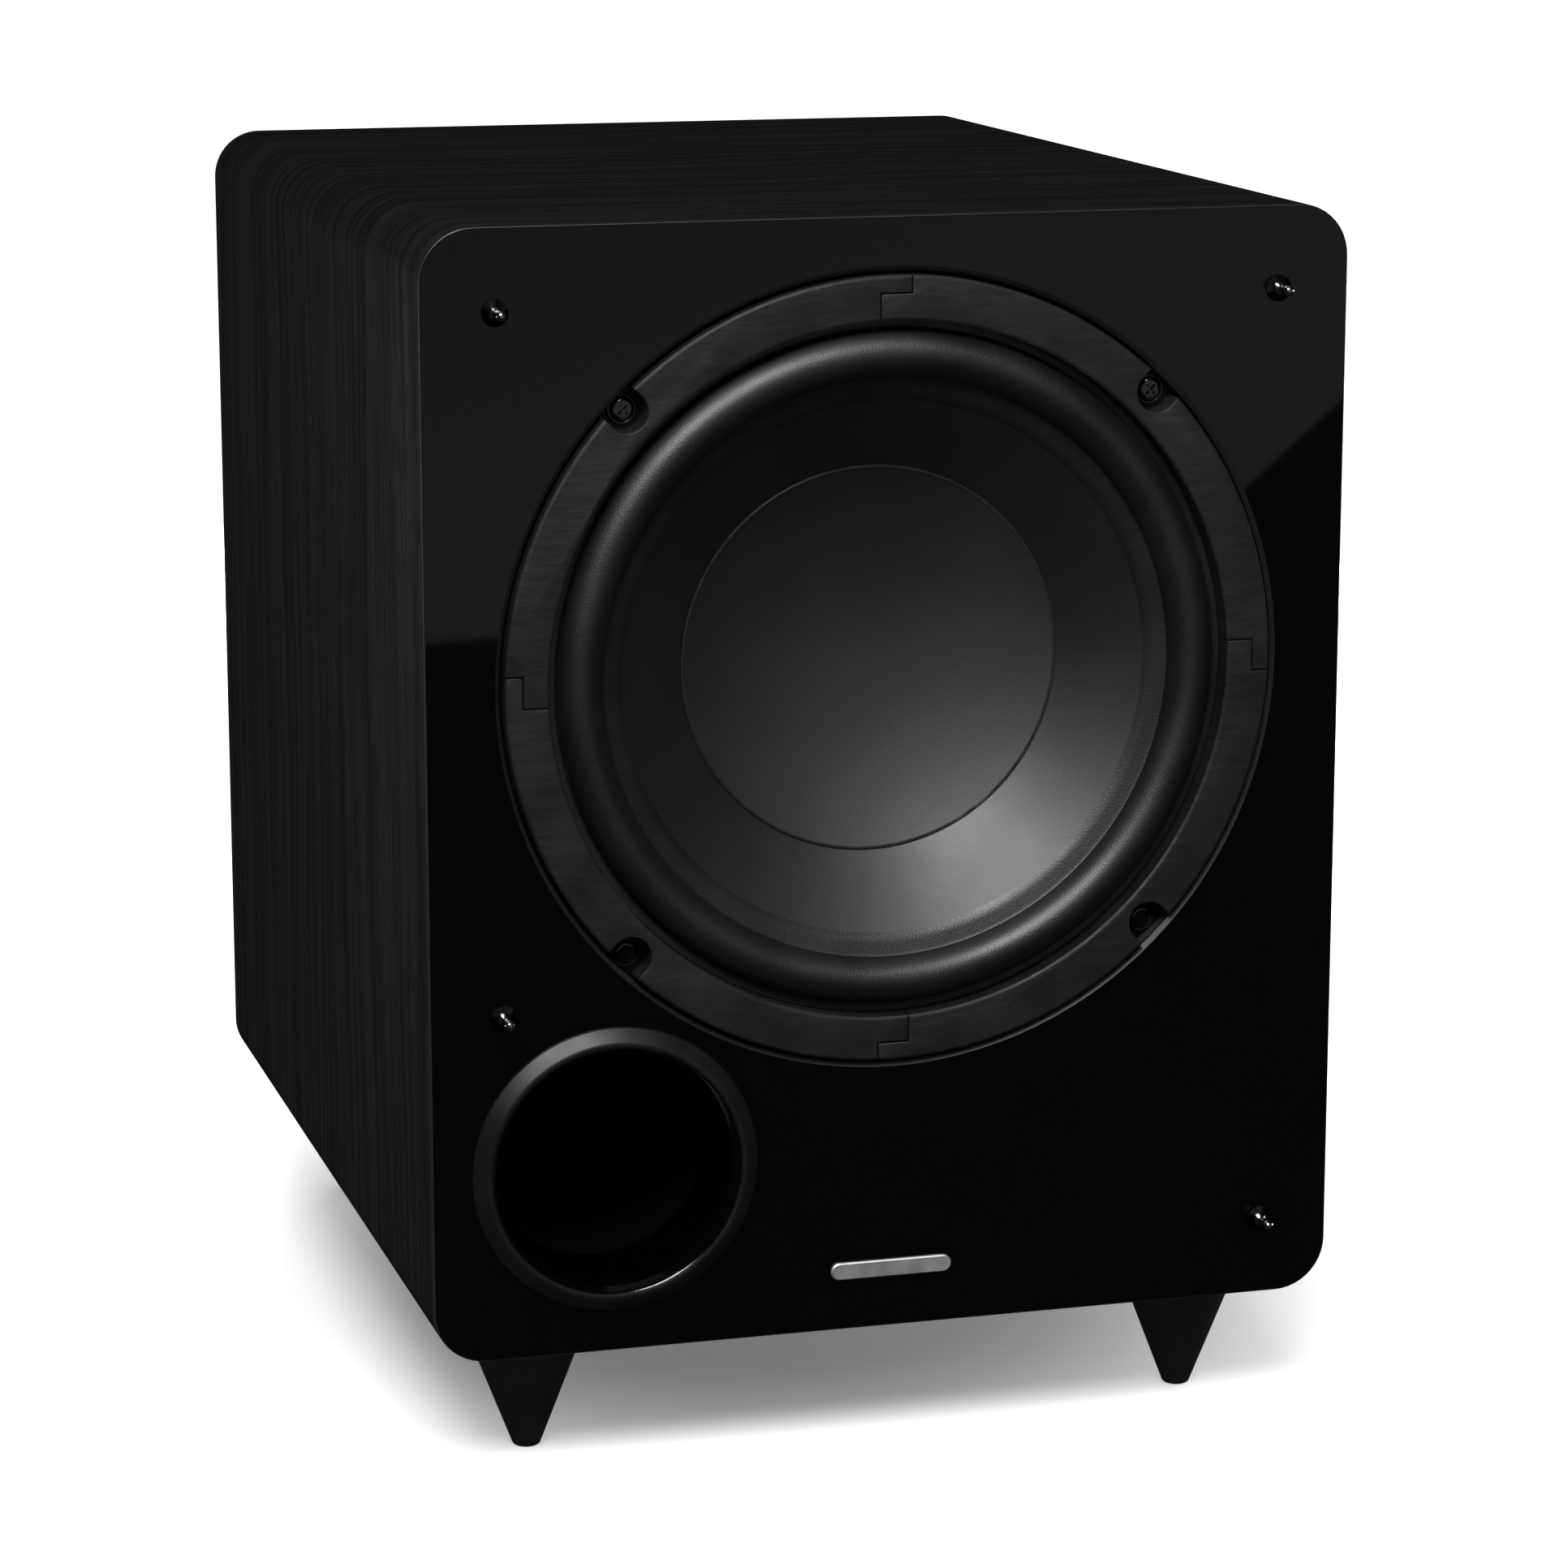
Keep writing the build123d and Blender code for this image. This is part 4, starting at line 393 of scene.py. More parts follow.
# Near-black all over: real black paint on the back board's outer face, painted shade on the
# cabinet's inner faces, the bottom board and the brace, which show through the port.
mdf_black_and_shade = finish("mdf_black_and_shade", grey(0.003), grey(0.006), 0.7, 0.85, fine=900, slow=60,
                     relief=0.00005)
dress(mdf_black_and_shade, "bottom_panel", "back_panel", "window_brace")


# -------- wood-grain film
# Black ash vinyl film, wrapped once round the four long sides with its grain running round too. It
# has printed streaks, embossed pores and a satin sheen, and a small rolled edge behind the fascia.
FILM_THICKNESS = 0.0004
FILM_CORNER = 0.018
FILM_CORNER_STEPS = 20
FILM_EDGE = 0.00032


def add_block(build, size, place):
    """Adds a box of this size with its middle at place, and returns its points."""
    points = bmesh.ops.create_cube(build, size=1)["verts"]
    bmesh.ops.scale(build, vec=size, verts=points)
    bmesh.ops.translate(build, vec=place, verts=points)
    return points


def round_off(build, parts, radius, steps, affect="EDGES"):
    """Rounds edges, or the corners of a section, to a radius."""
    bmesh.ops.bevel(build, geom=parts, offset=radius, offset_type="OFFSET", segments=steps,
                    profile=0.5, affect=affect, material=-1)


low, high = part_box("vinyl_wrap")
build = bmesh.new()
add_block(build, high - low, (low + high) / 2)
long_edges = [edge for edge in build.edges if abs(edge.verts[0].co.y - edge.verts[1].co.y) > 0.1]
round_off(build, long_edges, FILM_CORNER, FILM_CORNER_STEPS)
ends = [face for face in build.faces if abs(face.normal.y) > 0.9]
bmesh.ops.delete(build, geom=ends, context="FACES")
bmesh.ops.recalc_face_normals(build, faces=build.faces)
bmesh.ops.solidify(build, geom=build.faces[:], thickness=FILM_THICKNESS)


def outer_front_edge(edge):
    """True for an edge that lies on the front rim of the film's outer skin."""
    if any(abs(vertex.co.y - low.y) > 1e-6 for vertex in edge.verts):
        return False
    return len({tuple(round(c, 6) for c in f.normal) for f in edge.link_faces}) == 2 and any(
        abs(f.normal.y) < 0.1 and f.normal.dot(f.calc_center_median() - (low + high) / 2) > 0
        for f in edge.link_faces
    )


build.normal_update()
round_off(build, [edge for edge in build.edges if outer_front_edge(edge)], FILM_EDGE, 2)


def soften(build, limit=32):
    """Smooth shading, with edges sharper than limit degrees kept crisp."""
    build.normal_update()
    for face in build.faces:
        face.smooth = True
    for edge in build.edges:
        turn = edge.calc_face_angle(math.pi) if len(edge.link_faces) == 2 else math.pi
        edge.smooth = turn < math.radians(limit)


def piece(name, build, body, slot, material, *replaced):
    """Makes the finished piece, which moves with a body and may stand for CAD nodes."""
    mesh = bpy.data.meshes.new(name)
    build.to_mesh(mesh)
    build.free()
    mesh.materials.append(material)
    made_piece = bpy.data.objects.new(name, mesh)
    bpy.context.scene.collection.objects.link(made_piece)
    if body:
        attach(made_piece, body)
    if replaced:
        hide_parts(*replaced)
    return made_piece


# The grain has broad bands, fine lines and short pores: waves per metre across it, waves per metre
# along it, and detail. It wanders a little from side to side.
GRAIN_LAYERS = {"band": (130, 2.2, 5), "line": (560, 7, 3), "pore": (2100, 50, 1)}
GRAIN_WANDER = 0.03
BAND_SHARE = 0.55
ash_grain = new_group("ash_grain", {"Place": None}, ["Tone", "Pores", "Height"])
grain_in = ash_grain.nodes.new("NodeGroupInput")
grain_out = ash_grain.nodes.new("NodeGroupOutput")
made = add_nodes(ash_grain, {
    "wander": "TexNoise", "bend": "VectorMath", "bent": "VectorMath",
    "band_map": "Mapping", "bands": "TexNoise", "line_map": "Mapping", "lines": "TexNoise",
    "pore_map": "Mapping", "pores": "TexNoise", "pore_cut": "MapRange", "weigh": "Math",
    "both": "Math", "tone": "MapRange", "height": "Math",
})
made["wander"].inputs["Scale"].default_value = 5.5
made["wander"].inputs["Detail"].default_value = 1
made["bend"].operation = "MULTIPLY"
made["bend"].inputs[1].default_value = (0, GRAIN_WANDER, 0)
made["bent"].operation = "ADD"
for layer, (across, round_it, detail) in GRAIN_LAYERS.items():
    made[layer + "_map"].inputs["Scale"].default_value = (round_it, across, round_it)
    made[layer + "s"].inputs["Scale"].default_value = 1
    made[layer + "s"].inputs["Detail"].default_value = detail
    made[layer + "s"].inputs["Roughness"].default_value = 0.62
    ash_grain.links.new(made["bent"].outputs[0], made[layer + "_map"].inputs["Vector"])
    ash_grain.links.new(made[layer + "_map"].outputs[0], made[layer + "s"].inputs["Vector"])
made["pore_cut"].inputs["From Min"].default_value = 0.44
made["pore_cut"].inputs["From Max"].default_value = 0.36
made["weigh"].operation = "MULTIPLY"
made["weigh"].inputs[1].default_value = BAND_SHARE
made["both"].operation = "MULTIPLY_ADD"
made["both"].inputs[1].default_value = 1 - BAND_SHARE
made["tone"].interpolation_type = "SMOOTHSTEP"
made["tone"].inputs["From Min"].default_value = 0.40
made["tone"].inputs["From Max"].default_value = 0.61
made["height"].operation = "SUBTRACT"
join(
    ash_grain,
    (grain_in.outputs["Place"], made["wander"].inputs["Vector"]),
    (made["wander"].outputs["Color"], made["bend"].inputs[0]),
    (grain_in.outputs["Place"], made["bent"].inputs[0]),
    (made["bend"].outputs[0], made["bent"].inputs[1]),
    (made["pores"].outputs["Fac"], made["pore_cut"].inputs["Value"]),
    (made["bands"].outputs["Fac"], made["weigh"].inputs[0]),
    (made["lines"].outputs["Fac"], made["both"].inputs[0]),
    (made["weigh"].outputs[0], made["both"].inputs[2]),
    (made["both"].outputs[0], made["tone"].inputs["Value"]),
    (made["tone"].outputs[0], made["height"].inputs[0]),
    (made["pore_cut"].outputs[0], made["height"].inputs[1]),
    (made["tone"].outputs[0], grain_out.inputs["Tone"]),
    (made["pore_cut"].outputs[0], grain_out.inputs["Pores"]),
    (made["height"].outputs[0], grain_out.inputs["Height"]),
)

ash_film = bpy.data.materials.new("ash_film")
ash_film.use_nodes = True
tree, shader = tree_of(ash_film)
made = add_nodes(tree, {
    "place": "TexCoord", "grain": "Group", "colour": "Mix", "rough": "MapRange", "bump": "Bump",
})
made["grain"].node_tree = ash_grain
made["colour"].data_type = "RGBA"
made["colour"].inputs[6].default_value = grey(0.0014)
made["colour"].inputs[7].default_value = grey(0.0128)
made["rough"].inputs["To Min"].default_value = 0.62
made["rough"].inputs["To Max"].default_value = 0.40
made["bump"].inputs["Distance"].default_value = 0.00007
join(
    tree,
    (made["place"].outputs["Object"], made["grain"].inputs["Place"]),
    (made["grain"].outputs["Tone"], made["colour"].inputs[0]),
    (made["colour"].outputs[2], shader.inputs["Base Color"]),
    (made["grain"].outputs["Tone"], made["rough"].inputs["Value"]),
    (made["rough"].outputs[0], shader.inputs["Roughness"]),
    (made["grain"].outputs["Height"], made["bump"].inputs["Height"]),
    (made["bump"].outputs[0], shader.inputs["Normal"]),
)
shader.inputs["Specular IOR Level"].default_value = 0.18
blend_colour(ash_film, made["grain"].outputs["Pores"], grey(0.001))

soften(build)
piece("film_wrap", build, "cabinet", "ash_vinyl", ash_film, "vinyl_wrap")


# -------- gloss front
# A 3 mm moulded sheet with a polished black lacquer, glued over the whole front. It has faint
# waviness in the lacquer, a few specks of dust and a softened outer edge. Routed edges are satin.
piano_black = finish("piano_black", grey(0.0008), grey(0.0011), 0.02, 0.035, fine=7, slow=9,
                     relief=0.00002, dust=0.12)
POLISHED_DEPTH = 0.00006


def radius_about(material, centre):
    """Distance of a point from an axis that runs front to back through centre (x, z)."""
    where = position(material)
    off_x = sum_of(material, "SUBTRACT", where["X"], centre[0])
    off_z = sum_of(material, "SUBTRACT", where["Z"], centre[1])
    squares = sum_of(material, "ADD", sum_of(material, "MULTIPLY", off_x, off_x),
                     sum_of(material, "MULTIPLY", off_z, off_z))
    return sum_of(material, "SQRT", squares, 0)


def blend_roughness(material, mask, roughness):
    """Another roughness over the material's own where mask is 1."""
    tree, shader = tree_of(material)
    under = socket_before(material, "Roughness")
    mix = tree.nodes.new("ShaderNodeMix")
    mix.inputs[3].default_value = roughness
    join(tree, (mask, mix.inputs[0]), (under, mix.inputs[2]),
         (mix.outputs[0], shader.inputs["Roughness"]))


cut_edge = sum_of(piano_black, "GREATER_THAN", position(piano_black)["Y"],
                  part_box("gloss_fascia")[0].y + POLISHED_DEPTH)
blend_colour(piano_black, cut_edge, grey(0.008))
blend_roughness(piano_black, cut_edge, 0.42)
dress(piano_black, "gloss_fascia")


# -------- feet
# Four cones moulded in black plastic with a fine satin tooth. Each is screwed by its stud into a
# zinc-plated steel insert in the bottom board.
foot_black = finish("foot_black", grey(0.004), grey(0.0065), 0.36, 0.46, fine=1800, slow=50,
                    relief=0.00003)
dress(foot_black, "foot_front_left", "foot_front_right", "foot_rear_left", "foot_rear_right")
zinc = finish("zinc", (0.50, 0.50, 0.48, 1), (0.66, 0.66, 0.63, 1), 0.25, 0.45, metal=1, fine=600,
              slow=90, relief=0.00001)
dress(zinc, "foot_inserts", "top_plate", "pole_piece", "control_pots")


# -------- driver frame
# A pressed steel basket with a black powder coat sits on a foam seal in the baffle's rebate. Four
# black cross-head screws hold it, in the open notches of the trim.
powder_coat = finish("powder_coat", grey(0.0012), grey(0.003), 0.3, 0.42, fine=1400, slow=70,
                     relief=0.00003, gloss=0.2)
dress(powder_coat, "driver_basket")
black_zinc = finish("black_zinc", grey(0.07), grey(0.11), 0.12, 0.2, metal=1, fine=900, slow=300,
                    relief=0.00001)
dress(black_zinc, "driver_screws", "amp_screws")

# A domed flange ring is part of each driver screw's head.
DRIVER_AXIS_Z = 0.274
HEAD_CIRCLE = 0.1295
HEAD_FLANGE = 0.0052
HEAD_FLANGE_BAR = 0.0006


def spin_round(build, parts, centre, steps):
    """Turns parts once round an axis that runs front to back through centre."""
    bmesh.ops.spin(build, geom=parts, cent=centre, axis=(0, 1, 0), dvec=(0, 0, 0),
                   angle=2 * math.pi, steps=steps, use_merge=True, use_duplicate=False)


def close_up(build):
    """Joins doubled points and turns every face outwards."""
    bmesh.ops.remove_doubles(build, verts=build.verts, dist=1e-6)
    bmesh.ops.recalc_face_normals(build, faces=build.faces)


flange_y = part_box("surround")[1].y
build = bmesh.new()
for corner in (45, 135, 225, 315):
    angle = math.radians(corner)
    spot = Vector((HEAD_CIRCLE * math.sin(angle), flange_y - HEAD_FLANGE_BAR,
                   DRIVER_AXIS_Z + HEAD_CIRCLE * math.cos(angle)))
    bar = bmesh.ops.create_circle(
        build, cap_ends=False, radius=HEAD_FLANGE_BAR, segments=12,
        matrix=Matrix.Translation(spot + Vector((HEAD_FLANGE - HEAD_FLANGE_BAR, 0, 0))),
    )["verts"]
    bar_edges = [edge for edge in build.edges if edge.verts[0] in bar and edge.verts[1] in bar]
    spin_round(build, bar + bar_edges, spot, 40)
close_up(build)
soften(build, 80)
piece("screw_flanges", build, "cabinet", "screw_black", black_zinc)


# -------- seals
# Both seals are closed-cell foam strip. The driver's is a flat ring, and the amplifier's is a
# rectangular frame that bulges a little between the plate and the back board.
SEAL_BORE = 0.119
SEAL_ROUND = 0.0004
foam = finish("foam", grey(0.012), grey(0.024), 0.85, 0.95, fine=1100, slow=200, relief=0.00015)


def turned(profile, middle, rounded=()):
    """A solid turned about the Y axis through middle, from (radius, y) points in metres.

    rounded lists (point number, radius) for the profile's corners that are rounded first.
    """
    build = bmesh.new()
    corners = [build.verts.new((middle[0] + radius, y, middle[1])) for radius, y in profile]
    for pair in zip(corners, corners[1:] + corners[:1]):
        build.edges.new(pair)
    for number, radius in rounded:
        round_off(build, [corners[number]], radius, 6, "VERTICES")
    spin_round(build, build.verts[:] + build.edges[:], (middle[0], 0, middle[1]), 192)
    close_up(build)
    soften(build)
    return build


low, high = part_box("driver_seal")
ring = [(SEAL_BORE, low.y), (high.x, low.y), (high.x, high.y), (SEAL_BORE, high.y)]
seal_ring = piece(
    "driver_foam", turned(ring, (0, DRIVER_AXIS_Z), [(n, SEAL_ROUND) for n in (3, 2, 1, 0)]),
    "cabinet", "foam", foam, "driver_seal",
)

FOAM_WIDTH = 0.011
FOAM_BULGE = 0.0007
low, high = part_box("amp_seal")
build = bmesh.new()
add_block(build, high - low, (low + high) / 2)
build.normal_update()
ends = [face for face in build.faces if abs(face.normal.y) > 0.9]
bmesh.ops.delete(build, geom=ends, context="FACES")
bmesh.ops.solidify(build, geom=build.faces[:], thickness=FOAM_WIDTH)
bmesh.ops.recalc_face_normals(build, faces=build.faces)
loops = [edge for edge in build.edges
         if abs(edge.verts[0].co.y - edge.verts[1].co.y) < 1e-6 and edge.calc_length() > 0.1]
round_off(build, loops, FOAM_BULGE, 4)
soften(build)
piece("amp_foam", build, "cabinet", "foam", foam, "amp_seal")


# -------- trim ring
# Four moulded rubber segments with stepped joints lie on the basket's flange. Their edges are
# rounded, and their face has a fine matte tooth and shallow slanting ripples from the mould.
TRIM_EDGE = 0.0005
RIPPLES = (60, 60, 240)
RIPPLE_SLANT = 35

trim_rubber = finish("trim_rubber", grey(0.0032), grey(0.0068), 0.5, 0.64, fine=1300, slow=55,
                     relief=0.00005, gloss=0.42)


def noise_height(material, scale, turn=0):
    """A noise with these waves per metre along X, Y and Z, turned about Y."""
    tree = material.node_tree
    parts = add_nodes(tree, {"place": "TexCoord", "turned": "Mapping", "noise": "TexNoise"})
    parts["turned"].inputs["Rotation"].default_value = (0, math.radians(turn), 0)
    parts["turned"].inputs["Scale"].default_value = scale
    parts["noise"].inputs["Scale"].default_value = 1
    parts["noise"].inputs["Detail"].default_value = 2
    join(tree, (parts["place"].outputs["Object"], parts["turned"].inputs["Vector"]),
         (parts["turned"].outputs[0], parts["noise"].inputs["Vector"]))
    return parts["noise"].outputs["Fac"]


def raise_relief(material, height, depth, over_tooth=False):
    """Embosses a height of depth metres, over the material's tooth or in place of it."""
    tree, shader = tree_of(material)
    bump = tree.nodes.new("ShaderNodeBump")
    bump.inputs["Distance"].default_value = depth
    if over_tooth:
        join(tree, (socket_before(material, "Normal"), bump.inputs["Normal"]))
    join(tree, (height, bump.inputs["Height"]), (bump.outputs[0], shader.inputs["Normal"]))


raise_relief(trim_rubber, noise_height(trim_rubber, RIPPLES, turn=RIPPLE_SLANT), 0.0004,
             over_tooth=True)


def merged_copy(name):
    """A CAD node's mesh as a bmesh with its loose triangles joined and flat faces made whole."""
    build = bmesh.new()
    build.from_mesh(nodes[name].data)
    build.transform(nodes[name].matrix_world)
    bmesh.ops.remove_doubles(build, verts=build.verts, dist=1e-6)
    bmesh.ops.dissolve_limit(build, angle_limit=math.radians(0.5), verts=build.verts,
                             edges=build.edges)
    bmesh.ops.recalc_face_normals(build, faces=build.faces)
    return build


for number in (1, 2, 3, 4):
    build = merged_copy(f"trim_segment_{number}")
    front_y = min(vertex.co.y for vertex in build.verts)
    build.normal_update()
    rim = [
        edge for edge in build.edges
        if all(abs(vertex.co.y - front_y) < 1e-6 for vertex in edge.verts)
        and len(edge.link_faces) == 2 and edge.calc_face_angle() > math.radians(20)
    ]
    bmesh.ops.bevel(build, geom=rim, offset=TRIM_EDGE, offset_type="OFFSET", segments=3,
                    profile=0.5, affect="EDGES", clamp_overlap=True, material=-1)
    soften(build)
    piece(f"trim_{number}", build, "cabinet", "trim_rubber", trim_rubber, f"trim_segment_{number}")


# -------- cone and dust cap
# The cone and the large dished cap are coated paper pulp, pressed in one colour. The cap's rim is
# glued on the cone with a thin bead that catches the light.
def pulp(name, dark, light, smooth, rough):
    """Coated paper pulp: short fibres under a satin coat."""
    material = finish(name, dark, light, smooth, rough, fine=700, slow=35, relief=0.00003,
                      gloss=0.95)
    raise_relief(material, noise_height(material, (2600, 2600, 2600)), 0.00002, over_tooth=True)
    return material


cone_pulp = pulp("cone_pulp", grey(0.0010), grey(0.0016), 0.50, 0.54)
dress(cone_pulp, "cone")

CAP_SAG = 0.015
CAP_WALL = 0.0008
CAP_STEPS = 32
BEAD = 0.0005


def thicken(build, wall):
    """Turns a thin skin's faces to the front, then gives it a wall behind them."""
    close_up(build)
    if sum(face.normal.y * face.calc_area() for face in build.faces) > 0:
        bmesh.ops.reverse_faces(build, faces=build.faces)
    bmesh.ops.solidify(build, geom=build.faces[:], thickness=wall)


cap_pulp = pulp("cap_pulp", grey(0.0010), grey(0.0016), 0.56, 0.60)
low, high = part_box("dust_cap")
CAP_RADIUS = high.x
curve = (CAP_RADIUS ** 2 + CAP_SAG ** 2) / (2 * CAP_SAG)
build = bmesh.new()
pole = build.verts.new((0, low.y + CAP_SAG, DRIVER_AXIS_Z))
bmesh.ops.spin(build, geom=[pole], cent=(0, low.y + CAP_SAG - curve, DRIVER_AXIS_Z),
               axis=(0, 0, 1), dvec=(0, 0, 0), angle=-math.asin(CAP_RADIUS / curve),
               steps=CAP_STEPS, use_merge=False, use_duplicate=False)
spin_round(build, build.verts[:] + build.edges[:], (0, 0, DRIVER_AXIS_Z), 192)
thicken(build, CAP_WALL)
soften(build)
piece("cap_dish", build, "cone_assembly", "cap_paper", cap_pulp, "dust_cap")

cap_glue = finish("cap_glue", grey(0.01), grey(0.02), 0.15, 0.3, fine=900, slow=200, relief=0.00001)
bead_profile = [
    (CAP_RADIUS - BEAD, low.y + 0.00005), (CAP_RADIUS, low.y - BEAD),
    (CAP_RADIUS + BEAD, low.y), (CAP_RADIUS + BEAD * 0.6, low.y + BEAD),
]
piece("cap_bead", turned(bead_profile, (0, DRIVER_AXIS_Z)), "cone_assembly", "cap_paper", cap_glue)


# -------- surround
# A half-roll of butyl rubber, 16 mm across, glued to the basket's flange outside. Inside, its lip
# slopes down over the edge of the cone and is glued there. Its skin is satin with a fine tooth.
ROLL_OUTER = 0.115
ROLL_INNER = 0.099
LAND_OUTER = 0.1182
RUBBER = 0.0012
RUBBER_SHOWN = 0.0009
ROLL_STEPS = 28
ROOT_ROUND = 0.0014
LIP_LINE = [(0.0990, -0.0008), (0.0935, 0.00095), (0.0915, 0.0024)]

low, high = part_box("surround")
land_y = high.y - RUBBER
roll_rise = land_y - low.y
roll_middle = (ROLL_OUTER + ROLL_INNER) / 2
roll_half = (ROLL_OUTER - ROLL_INNER) / 2


# The roll's section is one vertex swung through half a turn, then raised a little.
build = bmesh.new()
first = build.verts.new((roll_middle - roll_half, land_y, DRIVER_AXIS_Z))
bmesh.ops.spin(build, geom=[first], cent=(roll_middle, land_y, DRIVER_AXIS_Z), axis=(0, 0, 1),
               dvec=(0, 0, 0), angle=math.pi, steps=ROLL_STEPS, use_merge=False,
               use_duplicate=False)
for vertex in build.verts:
    if abs(vertex.co.y - land_y) > 1e-9:
        vertex.co.y = land_y + (vertex.co.y - land_y) * roll_rise / roll_half
outer_root = max(build.verts, key=lambda vertex: vertex.co.x)
inner_root = min(build.verts, key=lambda vertex: vertex.co.x)
outer_land = build.verts.new((LAND_OUTER, land_y, DRIVER_AXIS_Z))
build.edges.new((outer_root, outer_land))
inner_root.co.y = land_y + LIP_LINE[0][1]
lip = [inner_root]
lip += [build.verts.new((x, land_y + down, DRIVER_AXIS_Z)) for x, down in LIP_LINE[1:]]
for pair in zip(lip, lip[1:]):
    build.edges.new(pair)
for root in (outer_root, inner_root, lip[1]):
    round_off(build, [root], ROOT_ROUND, 5, "VERTICES")
spin_round(build, build.verts[:] + build.edges[:], (0, 0, DRIVER_AXIS_Z), 240)
thicken(build, RUBBER_SHOWN)
soften(build, 50)
butyl = finish("butyl", grey(0.0014), grey(0.0024), 0.42, 0.50, fine=1700, slow=40, relief=0.0001,
               gloss=0.8)
surround_roll = piece("surround_roll", build, None, "surround_rubber", butyl, "surround")
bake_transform(surround_roll)


# -------- spider
# Resin-dipped cotton cloth, pressed into five concentric waves. It is glued to the coil former
# inside and to the basket's landing outside, and centres the coil.
SPIDER_WAVES = 5
WAVE_STEPS = 8
SPIDER_CLOTH = 0.0005
SPIDER_INNER = 0.0258
SPIDER_LANDING = 0.062
WEAVE_PER_METRE = 320
FACING_BACK = Matrix.Rotation(math.pi / 2, 4, "X")
low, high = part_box("spider")
SPIDER_OUTER = high.x
middle_y = (low.y + high.y) / 2
wave_height = (high.y - low.y) / 2 - SPIDER_CLOTH
build = bmesh.new()
bmesh.ops.create_circle(build, cap_ends=False, radius=SPIDER_INNER, segments=160,
                        matrix=Matrix.Translation((0, middle_y, DRIVER_AXIS_Z)) @ FACING_BACK)
edge_loop = build.edges[:]
step_count = SPIDER_WAVES * WAVE_STEPS
for step in range(1, step_count + 2):
    grown = bmesh.ops.extrude_edge_only(build, edges=edge_loop)["geom"]
    loop_points = [part for part in grown if isinstance(part, bmesh.types.BMVert)]
    edge_loop = [part for part in grown if isinstance(part, bmesh.types.BMEdge) and
                 all(end in loop_points for end in part.verts)]
    share = min(step / step_count, 1)
    radius = SPIDER_INNER + (SPIDER_LANDING - SPIDER_INNER) * share
    if step > step_count:
        radius = SPIDER_OUTER
    lift = wave_height * math.sin(2 * math.pi * SPIDER_WAVES * share)
    for point in loop_points:
        flat = Vector((point.co.x, 0, point.co.z - DRIVER_AXIS_Z)).normalized() * radius
        point.co = (flat.x, middle_y - lift, flat.z + DRIVER_AXIS_Z)
bmesh.ops.recalc_face_normals(build, faces=build.faces)
bmesh.ops.solidify(build, geom=build.faces[:], thickness=SPIDER_CLOTH)
soften(build, 60)
spider_cloth = finish("spider_cloth", (0.42, 0.30, 0.14, 1), (0.56, 0.43, 0.22, 1), 0.6, 0.8,
                      fine=1500, slow=60, relief=0.0001)


def ridge_height(material, way, scale, slant=0):
    """Even ridges that follow each other along way, with the pattern turned about X."""
    tree = material.node_tree
    parts = add_nodes(tree, {"place": "TexCoord", "turned": "Mapping", "ridges": "TexWave"})
    parts["turned"].inputs["Rotation"].default_value = (math.radians(slant), 0, 0)
    parts["ridges"].bands_direction = way
    parts["ridges"].inputs["Scale"].default_value = scale
    join(tree, (parts["place"].outputs["Object"], parts["turned"].inputs["Vector"]),
         (parts["turned"].outputs[0], parts["ridges"].inputs["Vector"]))
    return parts["ridges"].outputs["Fac"]


woven = sum_of(spider_cloth, "MAXIMUM", ridge_height(spider_cloth, "X", WEAVE_PER_METRE),
               ridge_height(spider_cloth, "Z", WEAVE_PER_METRE))
raise_relief(spider_cloth, woven, 0.0002)
spider_web = piece("spider_web", build, None, "spider_cloth", spider_cloth, "spider")
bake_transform(spider_web)


# -------- voice coil and motor
# Enamelled copper is wound on an aluminium tube. The tube moves in the gap between a plated top
# plate and pole; the magnet is a sintered ferrite ring. Tinsel leads reach a phenolic board.
TURNS_PER_METRE = 900
former_tube = finish("former_tube", (0.68, 0.68, 0.69, 1), (0.8, 0.8, 0.81, 1), 0.2, 0.35, metal=1,
                     fine=500, slow=90)
dress(former_tube, "voice_coil_former")
copper = finish("copper", (0.55, 0.22, 0.09, 1), (0.75, 0.36, 0.17, 1), 0.22, 0.38, metal=1,
                fine=800, slow=80)
raise_relief(copper, ridge_height(copper, "Y", TURNS_PER_METRE), 0.0002)
dress(copper, "voice_coil_winding")

# The leads are braided: one end is glued to the cone, the other is soldered.
LEAD_SHORTEST = 0.003
LEAD_CUTS = 9
BRAID_PER_METRE = 900
BRAID_SLANT = 40
braid = finish("braid", (0.50, 0.24, 0.12, 1), (0.70, 0.38, 0.20, 1), 0.35, 0.5, metal=0.8,
               fine=900, slow=80)
plaited = sum_of(braid, "MAXIMUM", ridge_height(braid, "Z", BRAID_PER_METRE, BRAID_SLANT),
                 ridge_height(braid, "Z", BRAID_PER_METRE, -BRAID_SLANT))
raise_relief(braid, plaited, 0.0002)
build = bmesh.new()
build.from_mesh(nodes["tinsel_leads"].data)
build.transform(nodes["tinsel_leads"].matrix_world)
bmesh.ops.remove_doubles(build, verts=build.verts, dist=1e-6)
long_edges = [edge for edge in build.edges if edge.calc_length() > LEAD_SHORTEST]
bmesh.ops.subdivide_edges(build, edges=long_edges, cuts=LEAD_CUTS, use_grid_fill=False)
bmesh.ops.recalc_face_normals(build, faces=build.faces)
soften(build, 45)
tinsel_pair = piece("tinsel_pair", build, None, "copper", braid, "tinsel_leads")
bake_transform(tinsel_pair)

